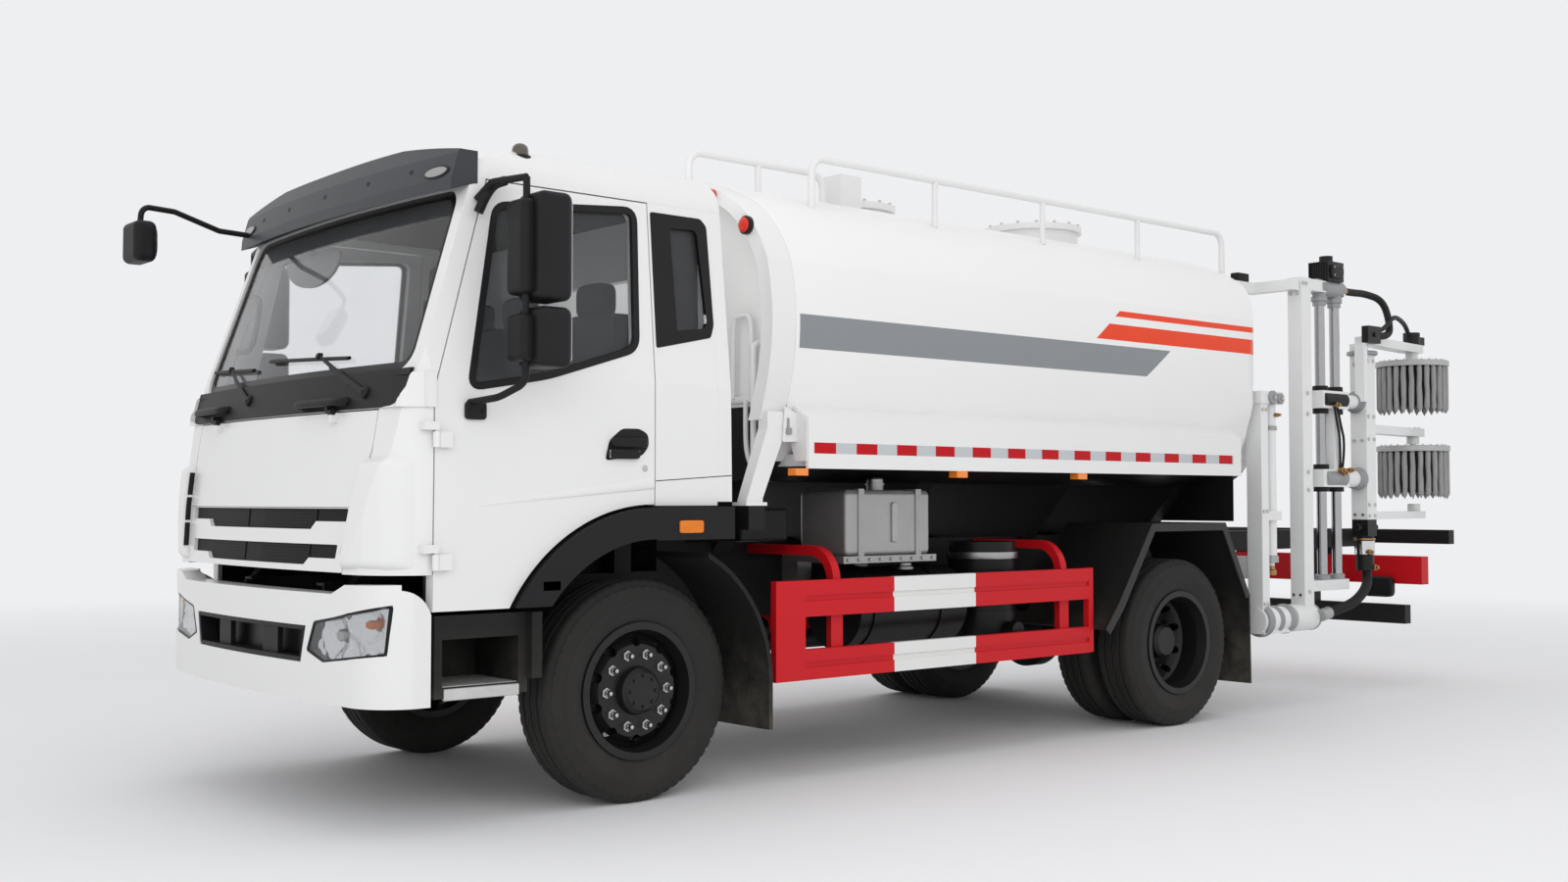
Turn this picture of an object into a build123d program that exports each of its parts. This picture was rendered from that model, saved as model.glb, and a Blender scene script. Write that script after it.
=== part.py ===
"""Guardrail cleaning truck: chassis, cab, water tank and a rear brush rig.

Lengths are in mm. The front axle stands at x = 0 while the pieces are made,
+X is forward, +Y is the left side and the ground is z = 0. The whole truck is
moved at the end so that its box is centred on x = 0.
"""
import os
from math import cos, pi, radians, sin, sqrt

from build123d import *

# Driving dimensions
WHEELBASE = 3950
TYRE_R = 506
TYRE_W = 276
BEAD_R = 292
FRONT_TYRE_Y = 947
REAR_TYRE_Y = 1062
TWIN_PITCH = 316
KINGPIN_Y = 800
NUTS = 10
NUT_PCD = 335

RAIL_Y = 430
RAIL_H = 260
RAIL_TOP = 1010
RAIL_W = 75
RAIL_FRONT = 1230
RAIL_REAR = -5560

CAB_Y = 1165
CAB_REAR = -477
WALL = 60
NOSE_X = 1384
NOSE_R = 9000
ROOF_SEAM = 2735
DOOR_FRONT = 1098
DOOR_REAR = -8
DOOR_GAP = 6
ARCH_R = 840
FLARE_GAP = 8

TANK_FRONT = -830
TANK_REAR = -5010
TANK_TOP = 3060
TANK_Y = 1200
SKIRT_Y = 1245

GUARD_Y = 1150
RIG_Y = 1150
RIG_AXIS_Z = 590
BRUSH_X = -7080
BRUSH_Y = 1055
BRUSH_R = 260
BRUSH_H = 400
STRIPS = 36
BRUSH_TOPS = (2405, 1775)

SEAT = 0.4
RUN = 0.5

REAR_X = -WHEELBASE


# Short helpers
def box(x0, x1, y0, y1, z0, z1):
    size = (abs(x1 - x0), abs(y1 - y0), abs(z1 - z0))
    return Pos((x0 + x1) / 2, (y0 + y1) / 2, (z0 + z1) / 2) * Box(*size)


def rod(axis, start, length, radius):
    turn = {"x": Rot(0, 90, 0), "y": Rot(-90, 0, 0), "z": Rot(0, 0, 0)}[axis]
    low = (Align.CENTER, Align.CENTER, Align.MIN)
    return Pos(*start) * turn * Cylinder(radius, length, align=low)


def ring(axis, start, length, outer, inner):
    x, y, z = start
    step = {"x": (1, 0, 0), "y": (0, 1, 0), "z": (0, 0, 1)}[axis]
    lower = (x - step[0], y - step[1], z - step[2])
    return rod(axis, start, length, outer) - rod(axis, lower, length + 2, inner)


def side_plate(points, y0, y1):
    face = make_face(Polyline([(x, y0, z) for x, z in points], close=True))
    return extrude(face, amount=y1 - y0, dir=(0, 1, 0))


def cross_plate(points, x0, x1):
    face = make_face(Polyline([(x0, y, z) for y, z in points], close=True))
    return extrude(face, amount=x1 - x0, dir=(1, 0, 0))


def plan_plate(points, z0, z1):
    face = make_face(Polyline([(x, y, z0) for x, y in points], close=True))
    return extrude(face, amount=z1 - z0, dir=(0, 0, 1))


def rounded_side(points, y0, y1, radius):
    wire = FilletPolyline([(x, y0, z) for x, z in points], radius=radius, close=True)
    return extrude(make_face(wire), amount=y1 - y0, dir=(0, 1, 0))


def rounded_cross(points, x0, x1, radius):
    wire = FilletPolyline([(x0, y, z) for y, z in points], radius=radius, close=True)
    return extrude(make_face(wire), amount=x1 - x0, dir=(1, 0, 0))


def pipe(points, radius, bend):
    path = FilletPolyline(points, radius=bend) if len(points) > 2 else Line(*points)
    start = Plane(path @ 0, z_dir=path % 0)
    return sweep(start * Circle(radius), path=path)


def flip(shape):
    return mirror(shape, about=Plane.XZ)


def both(shape):
    return [shape, flip(shape)]


def turned(profile, centre, axis="y"):
    """Turn a profile of (distance along the axis, radius) pairs about an axis through centre."""
    face = make_face(Polyline([(r, 0, s) for s, r in profile], close=True))
    body = revolve(face, axis=Axis.Z)
    tilt = {"y": Rot(-90, 0, 0), "z": Rot(0, 0, 0), "x": Rot(0, 90, 0)}[axis]
    return Pos(*centre) * tilt * body


NODES = {}


def node(name, *shapes):
    solids = []
    for shape in shapes:
        parts = shape if isinstance(shape, list) else [shape]
        for part in parts:
            solids.extend(part.solids())
    NODES[name] = solids


# Wheels: outward is +s in each profile, s = 0 is the middle of the tyre
def tyre(centre, outward):
    w = TYRE_W / 2
    r = TYRE_R
    half = [(-w + 44, BEAD_R), (-w + 16, BEAD_R + 28), (-w, r - 110)]
    half += [(-w + 8, r - 60), (-w + 26, r - 14), (-w + 46, r)]
    groove = [(-62, r), (-58, r - 14), (-46, r - 14), (-42, r), (-10, r), (-6, r - 14)]
    left = half + groove
    profile = left + [(-s, q) for s, q in reversed(left)]
    return turned([(outward * s, q) for s, q in profile], centre)


def wheel(centre, outward, disc, hub_end, bore, lean, capped=True):
    """Steel wheel with rim, dished disc, hand holes, nuts and a hub; disc is its offset in s."""
    w = TYRE_W / 2 - 22
    seat = BEAD_R - SEAT
    rim = [(-w, seat), (-w, seat + 20), (-w - 12, seat + 20), (-w - 12, seat - 14), (-w + 50, seat - 30)]
    rim += [(w - 50, seat - 30), (w + 12, seat - 14), (w + 12, seat + 20), (w, seat + 20), (w, seat)]
    edge = disc + lean * 60
    dish = [(disc, bore), (disc, 210), (disc + lean * 40, 240), (edge, seat - 24), (edge - 14, seat - 24)]
    dish += [(disc + lean * 40 - 16, 236), (disc - 14, 206), (disc - 14, bore)]
    hub = [(disc - 120, bore), (disc - 120, 130), (disc - 14, 130), (disc, 112)]
    if capped:
        hub += [(hub_end - 20, 104), (hub_end, 84), (hub_end, 0), (hub_end - 24, 0), (hub_end - 24, bore)]
    else:
        hub += [(hub_end, 112), (hub_end, bore)]
    body = turned([(outward * s, q) for s, q in rim], centre)
    body += turned([(outward * s, q) for s, q in dish], centre)
    body += turned([(outward * s, q) for s, q in hub], centre)
    x, y, z = centre
    for k in range(NUTS):
        a = 2 * pi * k / NUTS
        b = a + pi / NUTS
        ends = [outward * (min(disc, edge) - 22), outward * (max(disc, edge) + 8)]
        body -= rod("y", (x + 224 * cos(b), y + min(ends), z + 224 * sin(b)), abs(ends[1] - ends[0]), 24)
        nut_low = min(outward * (disc - 2), outward * (disc + 34))
        body += rod("y", (x + NUT_PCD / 2 * cos(a), y + nut_low, z + NUT_PCD / 2 * sin(a)), 36, 15)
    return body


SPINDLE_R = 45
for side, sign in (("left", 1), ("right", -1)):
    centre = (0, sign * FRONT_TYRE_Y, TYRE_R)
    node("tyre_front_" + side, tyre(centre, sign))
    node("wheel_front_" + side, wheel(centre, sign, 96, 150, SPINDLE_R + RUN, -1))
    y_out = sign * REAR_TYRE_Y
    y_in = sign * (REAR_TYRE_Y - TWIN_PITCH)
    node("tyres_rear_" + side, tyre((REAR_X, y_out, TYRE_R), sign), tyre((REAR_X, y_in, TYRE_R), -sign))
    outer = wheel((REAR_X, y_out, TYRE_R), sign, -96, 30, 90 + RUN, 1)
    inner = wheel((REAR_X, y_in, TYRE_R), -sign, -124, -100, 90 + RUN, 1, False)
    node("wheels_rear_" + side, outer + inner)

# Axles, knuckles and springs
beam_y = KINGPIN_Y - 70
axle_f = box(-45, 45, -beam_y + 120, beam_y - 120, 400, 480)
for s in (1, -1):
    axle_f += box(-45, 45, s * (beam_y - 180), s * (beam_y + 30), 456, 556)
    axle_f += rod("z", (0, s * KINGPIN_Y, 452), 108, 55)
    axle_f += rod("z", (0, s * KINGPIN_Y, 380), 252, 24)
    axle_f += box(-820, 820, s * 390 - 38, s * 390 + 38, 560, 600)
    axle_f += box(-420, 420, s * 390 - 38, s * 390 + 38, 600, 640)
    axle_f += box(-70, 70, s * 390 - 60, s * 390 + 60, 470, 660)
    for x in (-800, 800):
        axle_f += box(x - 30, x + 30, s * 390 - 30, s * 390 + 30, 590, RAIL_TOP - RAIL_H - SEAT)
node("front_axle", axle_f)

for side, s in (("left", 1), ("right", -1)):
    fork = box(-60, 60, s * KINGPIN_Y - 70, s * KINGPIN_Y + 70, 380, 452 - RUN)
    fork += box(-60, 60, s * KINGPIN_Y - 70, s * KINGPIN_Y + 70, 560 + RUN, 632)
    fork += box(-60, 60, s * (KINGPIN_Y + 58), s * (KINGPIN_Y + 82), 380, 632)
    inner = min(s * (KINGPIN_Y + 70), s * (FRONT_TYRE_Y + 120))
    fork += rod("y", (0, inner, TYRE_R), FRONT_TYRE_Y + 50 - KINGPIN_Y, SPINDLE_R)
    fork -= rod("z", (0, s * KINGPIN_Y, 300), 400, 24 + RUN)
    fork -= rod("z", (0, s * KINGPIN_Y, 452 - RUN), 108 + 2 * RUN, 57)
    node("knuckle_" + side, fork)

axle_r = rod("y", (REAR_X, -560, TYRE_R), 1120, 105)
axle_r += rod("y", (REAR_X, -REAR_TYRE_Y + 20, TYRE_R), 2 * REAR_TYRE_Y - 40, 90)
BULGE = [(-150, 0), (-150, 120), (-60, 230), (60, 230), (170, 110), (170, 0)]
axle_r += turned(BULGE, (REAR_X, 0, TYRE_R), "x")
for s in (1, -1):
    axle_r += box(REAR_X - 820, REAR_X + 820, s * 470 - 40, s * 470 + 40, 620, 690)
    axle_r += box(REAR_X - 90, REAR_X + 90, s * 470 - 60, s * 470 + 60, 560, 700)
    for x in (-790, 790):
        axle_r += box(REAR_X + x - 30, REAR_X + x + 30, s * 390, s * 505, 660, RAIL_TOP - RAIL_H - SEAT)
axle_r += rod("x", (REAR_X + 160, 0, TYRE_R + 60), -1620 - REAR_X - 160 - SEAT, 55)
node("rear_axle", axle_r)

# Ladder frame: two channels, cross members and the cab pivot posts
PIVOT_X = 1240
PIVOT_Z = 860
ladder = None
for s in (1, -1):
    rail = box(RAIL_REAR, RAIL_FRONT, s * (RAIL_Y - RAIL_W), s * RAIL_Y, RAIL_TOP - RAIL_H, RAIL_TOP)
    low, top = RAIL_TOP - RAIL_H + 12, RAIL_TOP - 12
    rail -= box(RAIL_REAR - 1, RAIL_FRONT + 1, s * (RAIL_Y - RAIL_W - 1), s * (RAIL_Y - 12), low, top)
    post = box(PIVOT_X - 45, PIVOT_X + 45, s * RAIL_Y, s * (RAIL_Y + 60), PIVOT_Z - 60, PIVOT_Z + 60)
    rail += post
    rail += rod("y", (PIVOT_X, min(s * RAIL_Y, s * (RAIL_Y + 140)), PIVOT_Z), 140, 25)
    ladder = rail if ladder is None else ladder + rail
for x in (1150, -1150, -1900, -3050, -4700, -5500):
    ladder += box(x - 40, x + 40, -RAIL_Y + 12, RAIL_Y - 12, RAIL_TOP - 200, RAIL_TOP - 60)
ladder += box(1110, 1190, -60, 60, 640, 820) + box(1150, 1296, -60, 60, 640, 700)
ladder -= rod("z", (PIVOT_X + 10, 0, 600), 140, 22)
node("frame_ladder", ladder)

engine = box(-420, 760, -340, 340, 780, 1290)
engine += box(-1000, -420, -190, 190, 640, 960)
engine += rod("x", (-1620, 0, TYRE_R + 130), 640, 70)
for s in (1, -1):
    engine += box(140, 260, s * 330, s * (RAIL_Y - 12 - SEAT), 860, 940)
node("engine_block", engine)


# Cab skin: a form bowed in plan, trimmed by its side, front and plan outlines
def cab_form(t):
    axis_x = NOSE_X - NOSE_R
    nose = [(1384, 300), (1384, 1074), (1356, 1342), (1292, 1747), (1248, 1897), (980, 2698), (880, 3000)]
    pts = [(x - axis_x - t, 0, z) for x, z in nose]
    face = make_face(Polyline([(6000, 0, 300)] + pts + [(6000, 0, 3000)], close=True))
    bowed = Pos(axis_x, 0, 0) * Rot(0, 0, -20) * revolve(face, axis=Axis.Z, revolution_arc=40)
    front, rear, top = 1000 - t, CAB_REAR + t, 2940 - t
    edge = Line((1500, 0, 300), (1500, 0, top - 420))
    edge += Line((1500, 0, top - 420), (front + 60, 0, top - 250))
    edge += ThreePointArc((front + 60, 0, top - 250), (700, 0, top - 62), (200, 0, top))
    edge += Line((200, 0, top), (rear + 180, 0, top - 14))
    edge += ThreePointArc((rear + 180, 0, top - 14), (rear + 82, 0, top - 42), (rear + 42, 0, top - 120))
    edge += Line((rear + 42, 0, top - 120), (rear, 0, 300))
    edge += Line((rear, 0, 300), (1500, 0, 300))
    side = Pos(0, -1300, 0) * extrude(make_face(edge), amount=2600, dir=(0, 1, 0))
    y = CAB_Y - t
    shell = Line((0, -y + 12, 300), (0, -y, 1500))
    shell += Line((0, -y, 1500), (0, -y, 1900))
    shell += Line((0, -y, 1900), (0, -y + 72, top - 210))
    shell += ThreePointArc((0, -y + 72, top - 210), (0, -y + 125, top - 82), (0, -y + 260, top - 26))
    shell += ThreePointArc((0, -y + 260, top - 26), (0, 0, top + 8), (0, y - 260, top - 26))
    shell += ThreePointArc((0, y - 260, top - 26), (0, y - 125, top - 82), (0, y - 72, top - 210))
    shell += Line((0, y - 72, top - 210), (0, y, 1900))
    shell += Line((0, y, 1900), (0, y, 1500))
    shell += Line((0, y, 1500), (0, y - 12, 300))
    shell += Line((0, y - 12, 300), (0, -y + 12, 300))
    across = Pos(-700, 0, 0) * extrude(make_face(shell), amount=2300, dir=(1, 0, 0))
    nose_y = 880 - t
    plan = Line((-700, y + 1, 0), (1104, y + 1, 0))
    plan += ThreePointArc((1104, y + 1, 0), (1262 - t * 0.7, y - 85, 0), (1345 - t, nose_y, 0))
    plan += Line((1345 - t, nose_y, 0), (1600, nose_y - 500, 0))
    plan += Line((1600, nose_y - 500, 0), (1600, 500 - nose_y, 0))
    plan += Line((1600, 500 - nose_y, 0), (1345 - t, -nose_y, 0))
    plan += ThreePointArc((1345 - t, -nose_y, 0), (1262 - t * 0.7, 85 - y, 0), (1104, -y - 1, 0))
    plan += Line((1104, -y - 1, 0), (-700, -y - 1, 0))
    plan += Line((-700, -y - 1, 0), (-700, y + 1, 0))
    above = Pos(0, 0, 300) * extrude(make_face(plan), amount=2700, dir=(0, 0, 1))
    return bowed & side & across & above


outer_form = cab_form(0)
shell = outer_form - cab_form(WALL)
glass_skin = cab_form(18) - cab_form(26)


def door_face(gap, y):
    """Door outline with its lower rear corner cut round the wheel arch, grown by gap."""
    r = ARCH_R + DOOR_GAP - gap
    low = 916 - gap
    x_end = sqrt(r * r - (low - TYRE_R) ** 2)
    mid = (r * sin(radians(34)), y, TYRE_R + r * cos(radians(34)))
    edge = Line((x_end, y, low), (DOOR_FRONT + gap, y, low))
    edge += Line((DOOR_FRONT + gap, y, low), (DOOR_FRONT + gap, y, 1832))
    edge += Line((DOOR_FRONT + gap, y, 1832), (822 + gap, y, ROOF_SEAM - DOOR_GAP + gap))
    edge += Line((822 + gap, y, ROOF_SEAM - DOOR_GAP + gap), (DOOR_REAR - gap, y, ROOF_SEAM - DOOR_GAP + gap))
    edge += Line((DOOR_REAR - gap, y, ROOF_SEAM - DOOR_GAP + gap), (DOOR_REAR - gap, y, TYRE_R + r))
    edge += Line((DOOR_REAR - gap, y, TYRE_R + r), (0, y, TYRE_R + r))
    edge += ThreePointArc((0, y, TYRE_R + r), mid, (x_end, y, low))
    return make_face(edge)


def door_prism(gap):
    return extrude(door_face(gap, 900), amount=400, dir=(0, 1, 0))


DOOR_WINDOW = [(938, 1838), (786, 2628), (62, 2690), (84, 2052), (560, 1905)]
SIDE_WINDOW = [(-58, 2074), (-58, 2680), (-344, 2680), (-320, 2168)]
SCREEN = [(-1095, 1905), (1095, 1905), (1040, 2690), (-1040, 2690)]
REAR_WINDOW = [(-620, 2000), (620, 2000), (620, 2480), (-620, 2480)]


def grown(points, gap):
    cx = sum(p[0] for p in points) / len(points)
    cz = sum(p[1] for p in points) / len(points)
    return [(x + (gap if x > cx else -gap), z + (gap if z > cz else -gap)) for x, z in points]


door_cut = rounded_side(DOOR_WINDOW, 900, 1300, 45)
side_cut = rounded_side(SIDE_WINDOW, 900, 1300, 40)
screen_cut = rounded_cross(SCREEN, 600, 1600, 90)
rear_cut = rounded_cross(REAR_WINDOW, -700, -300, 80)

panel_front = [(DOOR_FRONT + DOOR_GAP, 1066), (DOOR_FRONT + DOOR_GAP, 1832), (822 + DOOR_GAP, ROOF_SEAM)]
panel_front += [(1600, ROOF_SEAM), (1600, 1066)]
LID = [(-838, 1072), (838, 1072), (949, 1600), (949, 1742), (-949, 1742), (-949, 1600)]
LID_DROP = 30
lid_cut = cross_plate(LID, 1000, 1600)
hole = grown(LID, DOOR_GAP)
for k in (2, 5):
    hole[k] = (hole[k][0], LID[k][1] - LID_DROP)
lid_hole = cross_plate(hole, 1000, 1600)

HINGE_Y = CAB_Y + 22
HINGE_X = DOOR_FRONT + DOOR_GAP / 2
HINGES = (1120, 1620)

cab_front = (shell & side_plate(panel_front, -1300, 1300)) - screen_cut - lid_hole
cab_front += box(1120, 1165, -1075, 1075, 1100, 1745)
for s in (1, -1):
    for z in HINGES:
        ear = box(HINGE_X - 8, HINGE_X + 60, s * (CAB_Y + 5), s * (HINGE_Y + 10), z + 36, z + 70)
        ear += box(HINGE_X + 6, HINGE_X + 60, s * (CAB_Y - 50), s * (HINGE_Y + 10), z + 36, z + 70)
        cab_front += ear + rod("z", (HINGE_X, s * HINGE_Y, z - 34), 104, 7)
node("cab_front", cab_front)
node("cab_roof", shell & box(-700, 1600, -1300, 1300, ROOF_SEAM + SEAT, 3100))
SIDE_END = -372
quarter = shell & box(SIDE_END + SEAT, DOOR_REAR - DOOR_GAP, 900, 1300, ARCH_R + TYRE_R + SEAT, ROOF_SEAM)
quarter -= side_cut
node("cab_sides", both(quarter))
rear_wall = shell & box(-700, SIDE_END, -1300, 1300, 1364, ROOF_SEAM)
node("cab_rear_wall", rear_wall - rear_cut)

# Cab floor: a raised deck, two foot wells and the arms on the tilt pivots
floor_y = CAB_Y - WALL - 11 - SEAT
deck = box(CAB_REAR + 40, 1090, -floor_y, floor_y, 1346, 1400) + box(1000, 1120 - SEAT, -900, 900, 1346, 1400)
for s in (1, -1):
    well = box(640, 1092, s * 540, s * floor_y, 912, 1346)
    well -= box(690, 1101, s * 590, s * (floor_y - 30), 962, 1500)
    deck -= box(690, 1101, s * 590, s * (floor_y - 30), 1300, 1500)
    deck += well
    lever = [(PIVOT_X, PIVOT_Z - 36), (1060, 870), (1060, 1060), (1105, 1060), (PIVOT_X + 22, PIVOT_Z + 30)]
    ends = sorted((s * (RAIL_Y + 70), s * (RAIL_Y + 130)))
    arm = side_plate(lever, *ends) + rod("y", (PIVOT_X, ends[0], PIVOT_Z), 60, 38)
    arm -= rod("y", (PIVOT_X, min(s * 300, s * 700), PIVOT_Z), 400, 25 + RUN)
    deck += arm
    deck += box(-380, -280, s * 380, s * 460, RAIL_TOP + SEAT, 1346)
node("cab_floor", deck - rear_wall)

screen = glass_skin & rounded_cross(grown(SCREEN, 0.2), 600, 1600, 90)
quarter_glass = glass_skin & rounded_side(grown(SIDE_WINDOW, 0.2), 900, 1300, 40)
rear_glass = glass_skin & rounded_cross(grown(REAR_WINDOW, 0.2), -700, -300, 80)
screen -= cab_front
node("cab_glass", screen, both(quarter_glass - quarter), rear_glass - rear_wall)

# Doors, with hinge barrels, glass and mirrors
door_left = (shell & door_prism(0)) - door_cut
for z in HINGES:
    leaf = box(HINGE_X - 70, HINGE_X - 2, CAB_Y - 30, HINGE_Y + 8, z - 34, z + 30)
    door_left += leaf + rod("z", (HINGE_X, HINGE_Y, z - 34), 64, 16)
    door_left -= rod("z", (HINGE_X, HINGE_Y, z - 60), 130, 7 + RUN)
door_left += box(90, 250, CAB_Y - 20, CAB_Y + 22, 1560, 1592)
glass_left = (glass_skin & rounded_side(grown(DOOR_WINDOW, 0.2), 900, 1300, 45)) - door_left

MIRROR_X = 790
arm_line = [(940, CAB_Y - 8, 1775), (900, 1330, 1790)]
arm_line += [(MIRROR_X + 20, 1390, 1850), (MIRROR_X + 20, 1390, 2700)]
arm = pipe(arm_line, 15, 60)
arm += pipe([(880, 1110, 2640), (860, 1200, 2700), (MIRROR_X + 20, 1390, 2700)], 15, 50)
mirror_left = arm
for low, high in ((2190, 2640), (1915, 2165)):
    mirror_left += fillet(box(MIRROR_X - 150, MIRROR_X + 10, 1290, 1490, low, high).edges(), 34)
    mirror_left += fillet(box(MIRROR_X - 20, MIRROR_X + 62, 1290, 1432, low + 25, high - 30).edges(), 28)
mirror_left = mirror_left - door_left
for side, make in (("left", lambda shape: shape), ("right", flip)):
    node("door_" + side, make(door_left))
    node("door_glass_" + side, make(glass_left))
    node("mirror_" + side, make(mirror_left))

# Front lid with its two grilles
SLOTS = []
for low, deep, high, wide, middle in ((1282, 1248, 1336, 835, 550), (1128, 1098, 1186, 780, 520)):
    half = [(middle, deep), (middle + 40, low), (wide, low), (wide + 8, high)]
    SLOTS.append(half + [(-y, z) for y, z in reversed(half)])
lid = shell & lid_cut
for slot in SLOTS:
    lid -= rounded_cross(slot, 1000, 1600, 8)
LID_AXIS = (1298, 1745)
cowl = (cab_form(-8) - outer_form) & box(1104, 1500, -1300, 1300, 1752, 1890)
for y in (-630, 630):
    lid += rod("y", (LID_AXIS[0], y - 16, LID_AXIS[1]), 32, 12) + box(1262, 1304, y - 16, y + 16, 1700, 1742)
    cowl += box(1262, 1308, y - 44, y - 22, 1742, 1775) - outer_form
    cowl += rod("y", (LID_AXIS[0], y - 30, LID_AXIS[1]), 46, 6)
for y in (-630, 630):
    lid -= rod("y", (LID_AXIS[0], y - 20, LID_AXIS[1]), 40, 6 + RUN)
node("front_lid", lid)
grille = None
for slot in SLOTS:
    panel = glass_skin & rounded_cross(grown(slot, 0.2), 1000, 1600, 8)
    grille = [panel - lid] if grille is None else grille + [panel - lid]
node("grille", grille)

# Cab trim: arch flares and the dark cowl, then the visor and the front mirror
flare = side_plate([(-448, 1190), (0, 1190), (0, 1346), (-448, 1341)], CAB_Y - WALL - 10, 1200)
sweep_cut = rod("y", (0, 900, TYRE_R), 400, ARCH_R - FLARE_GAP) - rod("y", (0, 800, TYRE_R), 600, 690)
flare += sweep_cut & box(0, 900, CAB_Y - WALL - 10, 1200, 918, 1400)
flare -= quarter
node("cab_trim", both(flare), cowl)

bow_x = NOSE_X - NOSE_R
VISOR = [(1068, 2668), (1064, 2720), (1034, 2830), (988, 2910), (930, 2938), (760, 2908), (640, 2870)]
VISOR += [(640, 2760), (960, 2705)]
VISOR_Y = 1097
visor_face = make_face(Polyline([(x - bow_x, 0, z) for x, z in VISOR], close=True))
visor = Pos(bow_x, 0, 0) * Rot(0, 0, -20) * revolve(visor_face, axis=Axis.Z, revolution_arc=40)
brow = Line((600, -VISOR_Y, 2600), (600, VISOR_Y, 2600)) + Line((600, VISOR_Y, 2600), (600, VISOR_Y, 2846))
brow += ThreePointArc((600, VISOR_Y, 2846), (600, 0, 2940), (600, -VISOR_Y, 2846))
brow += Line((600, -VISOR_Y, 2846), (600, -VISOR_Y, 2600))
visor &= extrude(make_face(brow), amount=800, dir=(1, 0, 0))
visor_plan = [(640, 700), (870, VISOR_Y), (1300, VISOR_Y), (1300, -VISOR_Y), (870, -VISOR_Y), (640, -700)]
visor &= plan_plate(visor_plan, 2600, 3000)
visor -= outer_form
node("sun_visor", visor)

STEM = [(930, -985, 2730), (1160, -985, 2740), (1400, -950, 2805), (1575, -905, 2805), (1585, -900, 2700)]
stem = pipe(STEM, 14, 50)
cup = fillet(box(1530, 1640, -1000, -800, 2525, 2725).edges(), 34)
node("front_mirror", (stem + cup) - outer_form - visor)

# Inside the cab: dash, steering wheel and seats
DASH = [(1120 - SEAT, 1400 + SEAT), (1120 - SEAT, 1850), (1010, 1870)]
DASH += [(860, 1760), (900, 1560), (1040, 1400 + SEAT)]
dash = side_plate(DASH, -1000, 1000)
column = pipe([(880, 500, 1700), (690, 500, 1830)], 30, 10)
wheel_rim = Pos(680, 500, 1838) * Rot(0, -35, 0) * Torus(225, 17)
spoke = Pos(680, 500, 1838) * Rot(0, -35, 0) * Box(40, 430, 16)
interior = [dash + column + wheel_rim + spoke]
for y, w in ((500, 260), (-420, 440)):
    seat = box(-60, 440, y - w, y + w, 1400 + SEAT, 1700) + box(-200, -60, y - w, y + w, 1640, 2260)
    interior.append(fillet(seat.edges().filter_by(Axis.Y), 40))
node("cab_interior", interior)

# Bumper and headlamps
def bumper_form(t):
    front, y = 1412 - t, CAB_Y - 15 - t
    edge = Line((1100, y, 0), (1180, y, 0))
    edge += ThreePointArc((1180, y, 0), (1288 - t * 0.4, y - 60, 0), (1352 - t * 0.8, y - 190, 0))
    edge += ThreePointArc((1352 - t * 0.8, y - 190, 0), (front, 0, 0), (1352 - t * 0.8, 190 - y, 0))
    edge += ThreePointArc((1352 - t * 0.8, 190 - y, 0), (1288 - t * 0.4, 60 - y, 0), (1180, -y, 0))
    edge += Line((1180, -y, 0), (1100, -y, 0))
    edge += Line((1100, -y, 0), (1100, y, 0))
    return Pos(0, 0, 530) * extrude(make_face(edge), amount=520, dir=(0, 0, 1))


BUMPER_SECTION = [(-1200, 530), (1200, 530), (1200, 1030), (900, 1025), (800, 985)]
BUMPER_SECTION += [(-800, 985), (-900, 1025), (-1200, 1030)]
INTAKES = [[(-560, 690), (560, 690), (600, 845), (-600, 845)]]
LAMP = [(612, 742), (742, 700), (1105, 745), (1118, 948), (840, 893), (668, 866)]
bumper = (bumper_form(0) - bumper_form(110)) & cross_plate(BUMPER_SECTION, 1000, 1600)
for intake in INTAKES:
    bumper -= cross_plate(intake, 1200, 1600)
lamp_cut = cross_plate(LAMP, 1150, 1600)
lamp = (bumper_form(6) - bumper_form(70)) & cross_plate(grown(LAMP, -2), 1155, 1600)
bumper -= lamp_cut - bumper_form(80)
bumper -= flip(lamp_cut) - bumper_form(80)
swing = sqrt((PIVOT_X - DOOR_FRONT) ** 2 + (916 - PIVOT_Z) ** 2) - DOOR_GAP
bumper -= box(1050, 1225, -1300, 1300, PIVOT_Z, 1200) - rod("y", (PIVOT_X, -1300, PIVOT_Z), 2600, swing)
for s in (1, -1):
    bumper += box(RAIL_FRONT + SEAT, 1310, s * 350, s * 430, 780, 960)
node("front_bumper", bumper)
lamp += box(1180, 1330, 800, 840, 780, 860) & (bumper_form(60) - bumper_form(80 - SEAT))
node("headlamps", both(lamp - bumper))

# Steps and front mudguards
well = box(645, 1085, 700, GUARD_Y, 560, 898) - box(690, 1050, 790, GUARD_Y + 1, 606, 800)
well += box(600, 650, 760, 1195, 620, 898)
well += box(700, 1000, RAIL_Y + SEAT, 705, 760, 880)
guard = rod("y", (0, 760, TYRE_R), 430, 690) - rod("y", (0, 700, TYRE_R), 600, 668)
guard &= box(-900, -300, 700, 1300, TYRE_R, 1170)
guard += box(-690, -668, 760, 1190, 280, TYRE_R + 10)
guard += box(-640, -560, RAIL_Y + SEAT, 780, 780, 840)
node("front_wings", both(well), both(guard))

# Tanks and boxes hung on the frame
fuel = rod("x", (-2250, 790, 800), 800, 215)
for x in (-2100, -1600):
    fuel += ring("x", (x, 790, 800), 60, 224, 214)
    fuel += box(x, x + 60, RAIL_Y + SEAT, 620, 770, 900)
node("fuel_tank", fuel)

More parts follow.
